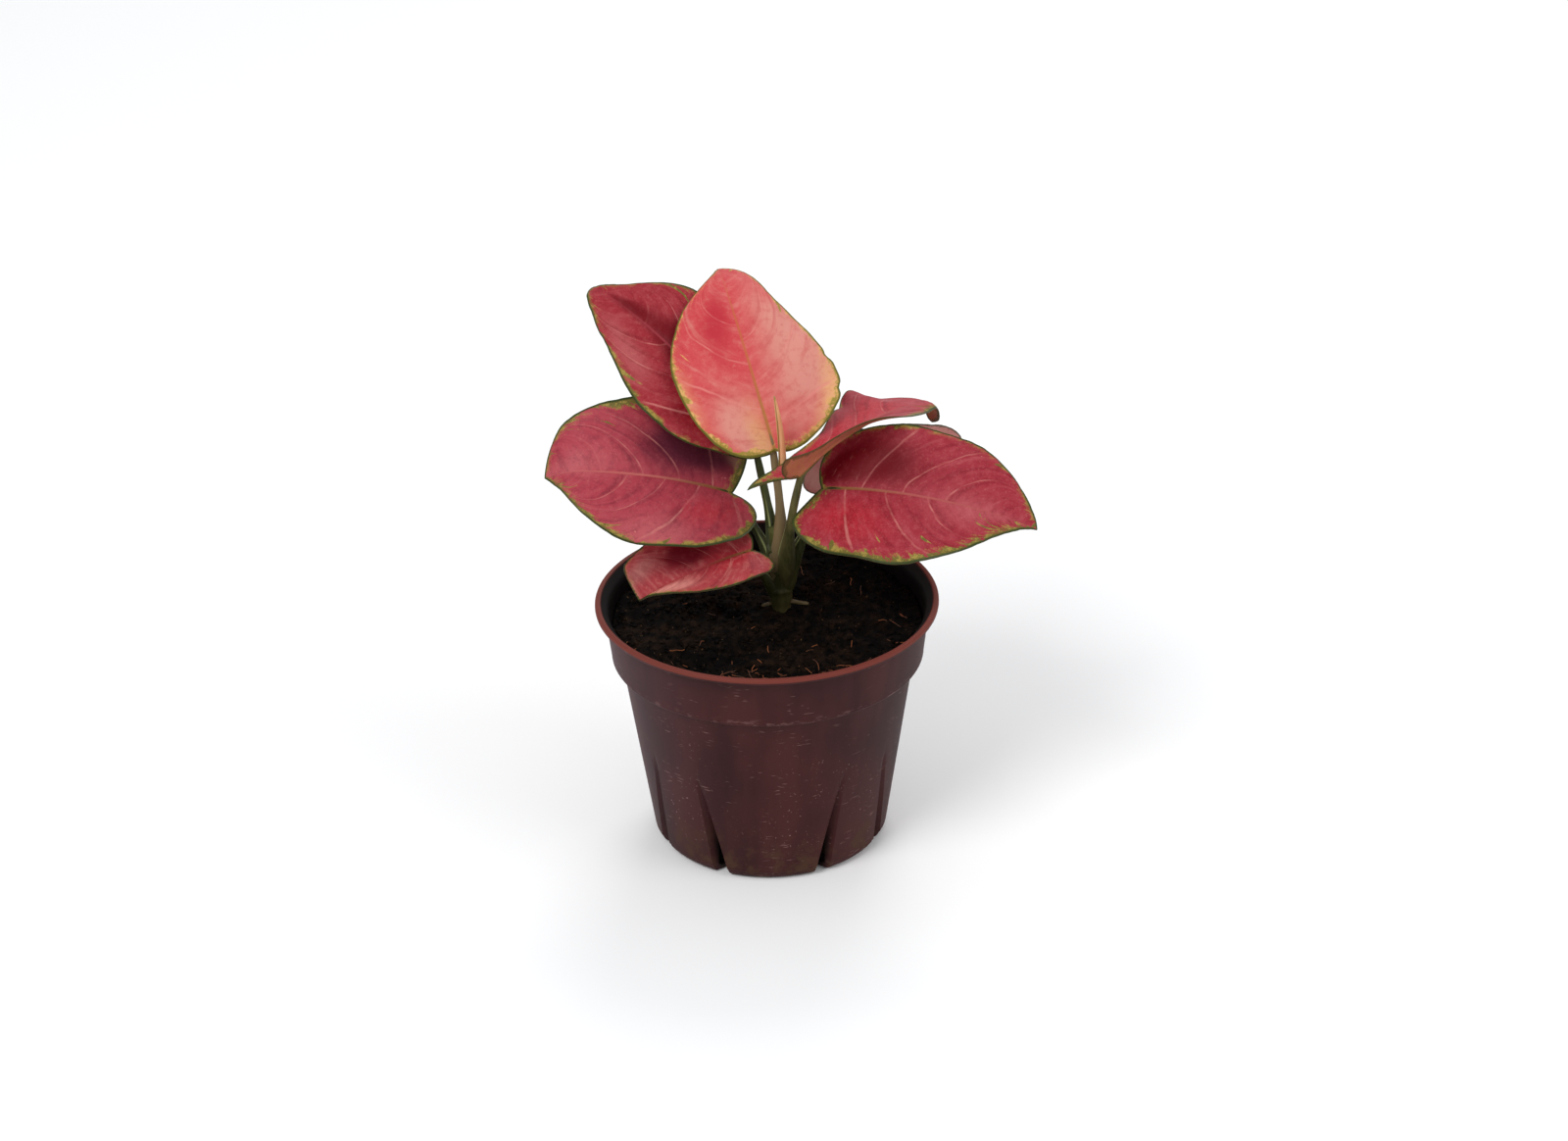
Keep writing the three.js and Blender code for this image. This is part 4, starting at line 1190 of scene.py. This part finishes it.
def petiole(leaf, tan):
    """A petiole: a channelled sheath at the stem that narrows and runs on under the midrib."""
    frames = midrib_frames(leaf)
    point, along, up = frames[0]
    end = point + along * PETIOLE.reach - up * PETIOLE.under
    lowest, shift, lean, follow = leaf.petiole
    start = np.array([STEM.x, STEM.y, lowest], float)
    outward = unit((end - start) * (1, 1, 0))
    start = start + outward + (shift, 0, 0)
    reach = np.linalg.norm(end - start)
    leaving, arriving = unit(outward * 0.15 + UPRIGHT + (lean, 0, 0)), unit(along * follow + UPRIGHT)
    handles = (start, start + leaving * reach * 0.4, end - arriving * reach * 0.3, end)
    shares = np.linspace(0, 1, PETIOLE.rings)
    radii = PETIOLE.foot + (PETIOLE.sheath - PETIOLE.foot) * smoothstep(shares, 0, PETIOLE.foot_share)
    radii = radii + (PETIOLE.neck - radii) * smoothstep(shares, PETIOLE.foot_share, PETIOLE.sheath_share)
    radii = radii + (PETIOLE.end - radii) * smoothstep(shares, 0.8, 1)
    midrib, _, out_of_face = frames_at(frames, np.linspace(0.05, 0.2, PETIOLE.end_rings))
    centres = np.vstack([bezier(handles, shares[:, None]), midrib - out_of_face * 0.8])
    radii = np.concatenate([radii, np.linspace(1.0, 0.35, PETIOLE.end_rings)])
    turn = even_turn(PETIOLE.sides) - math.pi
    channel = 0.6 * (1 - smoothstep(np.linspace(0, 1, len(centres)), 0.25, 0.75))[:, None]
    dent = np.exp(-((turn / 0.6) ** 2))
    wings = np.exp(-(((np.abs(turn) - 0.95) / 0.22) ** 2))
    size = radii[:, None] * (1 - channel * dent + 0.3 * channel * wings)
    points, faces = sweep(centres, size, turn, *path_frames(centres, -outward + 0.3 * UPRIGHT))
    attributes = {
        "wing": np.append(wings * channel * 1.8, (0, 0)),
        "tan": np.full(len(points), tan),
        "around": np.append(np.tile(turn, len(centres)), (0, 0)),
    }
    return points, faces, attributes


def column():
    """The main stem: a little thicker at each node, where a leaf's sheath leaves a ring."""
    heights = np.linspace(STEM.foot, STEM.top, STEM.rings)
    radii = STEM.radius - 0.4 * (1 - smoothstep(heights, 74, 77))
    for node in STEM.nodes:
        radii += STEM.swell * np.exp(-(((heights - node) / 0.9) ** 2))
    radii[0] = radii[-1] = STEM.radius * 0.6
    turn = even_turn(STEM.sides)
    size = radii[:, None] * (1 + 0.02 * np.sin(7 * turn) + 0.015 * np.sin(11 * turn + 1))
    centres = np.array([(STEM.x, STEM.y, height) for height in heights])
    points, faces = sweep(centres, size, turn, np.array([[1, 0, 0]]), np.array([[0, 1, 0]]))
    attributes = {
        "wing": np.zeros(len(points)),
        "tan": 0.35 * (1 - smoothstep(points[:, 2], 74, 84)),
        "around": np.append(np.tile(turn, len(heights)), (0, 0)),
    }
    return points, faces, attributes


def root_stub(heading, length, height, rise, radius):
    """A short dry root that shows at the foot of the stem."""
    shares = np.linspace(0, 1, ROOT_RINGS)[:, None]
    centres = np.array([STEM.x, STEM.y, height]) + shares * heading_vector(heading, rise) * length
    turn = even_turn(ROOT_SIDES)
    radii = radius * (1 - 0.45 * shares) * np.where(shares < 1, 1, 0.6)
    size = radii * (1 + 0.12 * np.sin(3 * turn + 9 * shares))
    points, faces = sweep(centres, size, turn, *path_frames(centres, UPRIGHT))
    zeros = np.zeros(len(points))
    return points, faces, {"wing": zeros, "tan": zeros + 1.2, "around": zeros}


def build_stem(settings):
    parts = [column()]
    parts += [petiole(leaf, TAN_SHEATHS.get(letter, 0.0)) for letter, leaf in LEAVES.items()]
    parts += [root_stub(*root) for root in ROOT_STUBS]
    points, faces, attributes = joined(parts)
    stem = mesh_object("stem_and_petioles", points, faces, stem_material(settings), attributes)
    place_piece(stem, "stem")


def stem_material(settings):
    """Green petioles with fine lengthwise streaks, pale sheath edges and tan sheaths."""
    m = Shader("stem", settings.green)
    fine = m.noise(m.stretched(1, 1, 0.1), 1400, 3, 0.6)
    broad = m.noise(m.stretched(1, 1, 0.3), 260, 2)
    stripes = m.math("SINE", m.attribute("around") * 22) * 0.5 + 0.5
    m.paint(m.ramp(broad, 0.4, 0.62), settings.green_light)
    m.paint(m.ramp(fine, 0.45, 0.65) * 0.35, "5d5a35")
    m.paint(stripes * 0.12, "1d2410")
    m.paint(m.ramp(m.attribute("tan") + (broad - 0.5) * 0.5, 0.1, 0.9) * 0.9, settings.tan)
    low = 1 - m.ramp(m.split(m.place, "Z"), 0.082, 0.108)
    m.paint(low * (0.4 + 0.35 * broad), "2c220e")
    m.paint(m.ramp(m.attribute("wing"), 0.25, 0.8) * 0.8, "8f9560")
    relief = fine * 0.6 + stripes * 0.3
    return m.finish(0.45 + 0.15 * fine, relief, distance=0.00015, strength=0.4, specular=0.2)


def build_new_leaf(settings):
    """The young leaf: a thin blade rolled round itself, narrowing to its tip."""
    foot, tip = np.array(NEW_LEAF.foot), np.array(NEW_LEAF.tip)
    middle = (foot + tip) / 2 + NEW_LEAF.bow
    shares = np.linspace(0, 1, NEW_LEAF.rings)[:, None]
    centres = foot * (1 - shares) ** 2 + 2 * middle * shares * (1 - shares) + tip * shares**2
    radii = NEW_LEAF.radius * (1 - 0.25 * shares) * np.sqrt(1.02 - shares**3)
    roll = np.linspace(0, 2 * NEW_LEAF.turns * math.pi, NEW_LEAF.steps)
    outer = 0.52 + 0.48 * roll / roll[-1]
    turn = np.concatenate([roll, roll[::-1]])
    size = radii * np.concatenate([outer, outer[::-1] - NEW_LEAF.sheet])
    across = path_frames(centres, np.array([0.5, -1.0, 0]))
    points, faces = sweep(centres, size, turn + 1.2 * shares, *across, caps=False)
    rings, sides = len(shares), len(turn)
    for start, step in ((0, -1), ((rings - 1) * sides, 1)):
        for j in range(len(roll) - 1):
            quad = (start + j, start + j + 1, start + sides - 2 - j, start + sides - 1 - j)
            faces.append(quad[::step])
    lips = np.exp(-((turn - roll[-1]) ** 2) / 0.12)
    attributes = {"lip": np.tile(lips, rings), "along": np.repeat(shares, sides)}
    spear = mesh_object("rolled_leaf", points, faces, new_leaf_material(settings), attributes)
    point_outwards(spear.data)
    place_piece(spear, "new_leaf")


def new_leaf_material(settings):
    """Cream-orange rolled blade with an olive free edge and tip."""
    m = Shader("rolled_leaf", settings.spear)
    fine = m.noise(m.stretched(1, 1, 0.12), 1600, 3)
    along = m.attribute("along")
    m.paint(m.ramp(fine, 0.4, 0.65) * 0.6, "d58a5a")
    m.paint((1 - m.ramp(along, 0, 0.3)) * 0.6, "8a7038")
    m.paint(m.math("MAXIMUM", m.ramp(m.attribute("lip"), 0.3, 0.8), m.ramp(along, 0.9, 1.0)) * 0.8, "7d7a26")
    return m.finish(0.45, fine, distance=0.0001)


# Stage


def build_stage(settings):
    size = 4 / MM
    corners = [(-size, -size, 0), (size, -size, 0), (size, size, 0), (-size, size, 0)]
    mesh_object("floor", corners, [(0, 1, 2, 3)], floor_material(settings))
    world = bpy.data.worlds.new("Studio")
    bpy.context.scene.world = world
    world.use_nodes = True
    background = world.node_tree.nodes["Background"]
    background.inputs["Color"].default_value = display_colour("f4f6f8")
    background.inputs["Strength"].default_value = settings.surround
    for name, place, width, share in LAMPS:
        light = bpy.data.lights.new(name, "AREA")
        light.shape = "DISK"
        light.size = width
        light.energy = settings.light * share
        lamp = scene_object(name, light)
        lamp.location = place
        aim = Vector(LAMP_TARGET) - Vector(place)
        lamp.rotation_euler = aim.to_track_quat("-Z", "Y").to_euler()
    add_camera()
    bpy.context.scene.view_settings.view_transform = "Standard"


def add_camera():
    camera = bpy.data.cameras.new("camera")
    camera.lens = CAMERA.lens
    camera.sensor_width = CAMERA.sensor
    camera.shift_x = CAMERA.target_left / CAMERA.frame_width
    eye = scene_object("camera", camera)
    rise = math.radians(CAMERA.elevation)
    back = Vector((0, -math.cos(rise), math.sin(rise)))
    eye.location = Vector(CAMERA.target) + back * CAMERA.distance
    eye.rotation_mode = "QUATERNION"
    roll = Quaternion((0, 0, 1), math.radians(CAMERA.roll))
    eye.rotation_quaternion = (-back).to_track_quat("-Z", "Y") @ roll
    bpy.context.scene.camera = eye


def floor_material(settings):
    m = Shader("floor", settings.floor)
    m.paint(m.noise(m.place, 3, 2) * 0.1, "f0f0f2")
    return m.finish(0.7)


# Settings, operators and panel


def colour_property(name, description, code):
    look = {"default": display_colour(code), "size": 4, "subtype": "COLOR"}
    return FloatVectorProperty(name=name, description=description, min=0, max=1, **look)


def amount_property(name, description, default, **kind):
    return FloatProperty(name=name, description=description, default=default, min=0, **kind)


def length_property(name, description, millimetres):
    metres = millimetres * MM
    return amount_property(name, description, metres, precision=5, subtype="DISTANCE", unit="LENGTH")


def count_property(name, description, default, least=3):
    return IntProperty(name=name, description=description, default=default, min=least)


class PotSettings(bpy.types.PropertyGroup):
    """Nursery pot."""

    pleats: count_property("Pleats", "Number of pleats round the pot", PLEATS.count)
    pleat_depth: length_property("Pleat Depth", "Depth of a pleat at the foot", PLEATS.depth)
    pleat_half_width: length_property(
        "Pleat Half Width", "Half the width of a pleat at the foot", PLEATS.half_width
    )
    colour: colour_property("Colour", "Main colour of the plastic", "2e1012")
    colour_light: colour_property("Light Colour", "Paler bands of the plastic", "421d1d")
    lip_colour: colour_property("Lip Colour", "Colour of the lip", "6e332a")
    # Colour of the painted shade inside the wall above the soil and in the feet of the pleats
    inner_colour: colour_property("Painted Shade Colour", "Inside of the wall above the soil", "0e0605")
    dust: amount_property("Dust", "Share of dust specks", 0.55, max=1, subtype="FACTOR")


class SoilSettings(bpy.types.PropertyGroup):
    """Potting soil."""

    colour: colour_property("Colour", "Dark peat", "060403")
    colour_light: colour_property("Light Colour", "Drier crumbs", "24170e")
    fibre_colour: colour_property("Fibre Colour", "Coir fibres", "8a4a22")
    crumb_size: length_property("Crumb Size", "Half the length of a large crumb", 1.0)
    crumb_density: amount_property("Crumb Density", "Crumbs in a square metre of soil", 190000)
    fibre_density: amount_property("Fibre Density", "Fibres in a square metre of litter", 100000)


class LeafSettings(bpy.types.PropertyGroup):
    """Leaf blades."""

    thickness: length_property("Thickness", "Thickness of a blade", 0.45)
    quilting: length_property("Quilting", "Height of the blade between its side veins", 0.3)
    vein_width: length_property("Vein Width", "Width of a side vein", 0.28)
    rows: count_property("Rows", "Rows of faces from base to tip", 120, least=8)
    cells: count_property("Cells", "Faces from midrib to margin", 26)


class StemSettings(bpy.types.PropertyGroup):
    """Stem, petioles and young leaf."""

    green: colour_property("Green", "Main colour of the petioles", "2b3412")
    green_light: colour_property("Light Green", "Paler green of the petioles", "4c5226")
    tan: colour_property("Tan", "Brown sheaths and roots", "7e6a4a")
    spear: colour_property("Spear", "Rolled young leaf", "dca070")


class StageSettings(bpy.types.PropertyGroup):
    """Floor and lights."""

    floor: colour_property("Floor", "Colour of the floor", "fcfcfc")
    surround: amount_property("Surround", "Strength of the light all round", 0.6)
    light: amount_property("Light", "Power of the main lamp", 22, unit="POWER")


class EVERGREEN_OT_pot(bpy.types.Operator):
    """Build the pleated nursery pot"""

    bl_idname = "evergreen.pot"
    bl_label = "Pot"

    def execute(self, context):
        build_pot(context.scene.evergreen_pot)
        return {"FINISHED"}


class EVERGREEN_OT_soil(bpy.types.Operator):
    """Build the soil with its crumbs and fibres"""

    bl_idname = "evergreen.soil"
    bl_label = "Soil"

    def execute(self, context):
        build_soil(context.scene.evergreen_pot, context.scene.evergreen_soil)
        return {"FINISHED"}


class EVERGREEN_OT_stem(bpy.types.Operator):
    """Build the stem, its petioles and root stubs"""

    bl_idname = "evergreen.stem"
    bl_label = "Stem"

    def execute(self, context):
        build_stem(context.scene.evergreen_stem)
        return {"FINISHED"}


class EVERGREEN_OT_leaves(bpy.types.Operator):
    """Build the seven leaf blades"""

    bl_idname = "evergreen.leaves"
    bl_label = "Leaves"

    def execute(self, context):
        for letter in LEAVES:
            build_leaf(letter, context.scene.evergreen_leaf)
        return {"FINISHED"}


class EVERGREEN_OT_new_leaf(bpy.types.Operator):
    """Build the rolled young leaf"""

    bl_idname = "evergreen.new_leaf"
    bl_label = "Young Leaf"

    def execute(self, context):
        build_new_leaf(context.scene.evergreen_stem)
        return {"FINISHED"}


class EVERGREEN_OT_stage(bpy.types.Operator):
    """Build the floor, the lights and the camera"""

    bl_idname = "evergreen.stage"
    bl_label = "Stage"

    def execute(self, context):
        build_stage(context.scene.evergreen_stage)
        return {"FINISHED"}


OPERATORS = (
    EVERGREEN_OT_pot,
    EVERGREEN_OT_soil,
    EVERGREEN_OT_stem,
    EVERGREEN_OT_leaves,
    EVERGREEN_OT_new_leaf,
    EVERGREEN_OT_stage,
)
SETTINGS = {
    "evergreen_pot": PotSettings,
    "evergreen_soil": SoilSettings,
    "evergreen_leaf": LeafSettings,
    "evergreen_stem": StemSettings,
    "evergreen_stage": StageSettings,
}


class EVERGREEN_PT_panel(bpy.types.Panel):
    """Lists the pieces and their settings"""

    bl_idname = "EVERGREEN_PT_panel"
    bl_label = "Potted Evergreen"
    bl_space_type = "VIEW_3D"
    bl_region_type = "UI"
    bl_category = "Evergreen"

    def draw(self, context):
        for operator in OPERATORS:
            self.layout.operator(operator.bl_idname)
        for attribute, group in SETTINGS.items():
            box = self.layout.box()
            box.label(text=group.__doc__)
            for key in group.__annotations__:
                box.prop(getattr(context.scene, attribute), key)


CLASSES = (*SETTINGS.values(), *OPERATORS, EVERGREEN_PT_panel)


def register():
    for cls in CLASSES:
        bpy.utils.register_class(cls)
    for attribute, group in SETTINGS.items():
        setattr(bpy.types.Scene, attribute, PointerProperty(type=group))


def unregister():
    for attribute in SETTINGS:
        delattr(bpy.types.Scene, attribute)
    for cls in reversed(CLASSES):
        bpy.utils.unregister_class(cls)


def main():
    register()
    bpy.ops.evergreen.pot()
    bpy.ops.evergreen.soil()
    bpy.ops.evergreen.stem()
    bpy.ops.evergreen.leaves()
    bpy.ops.evergreen.new_leaf()
    bpy.ops.evergreen.stage()
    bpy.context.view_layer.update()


if __name__ == "__main__":
    main()
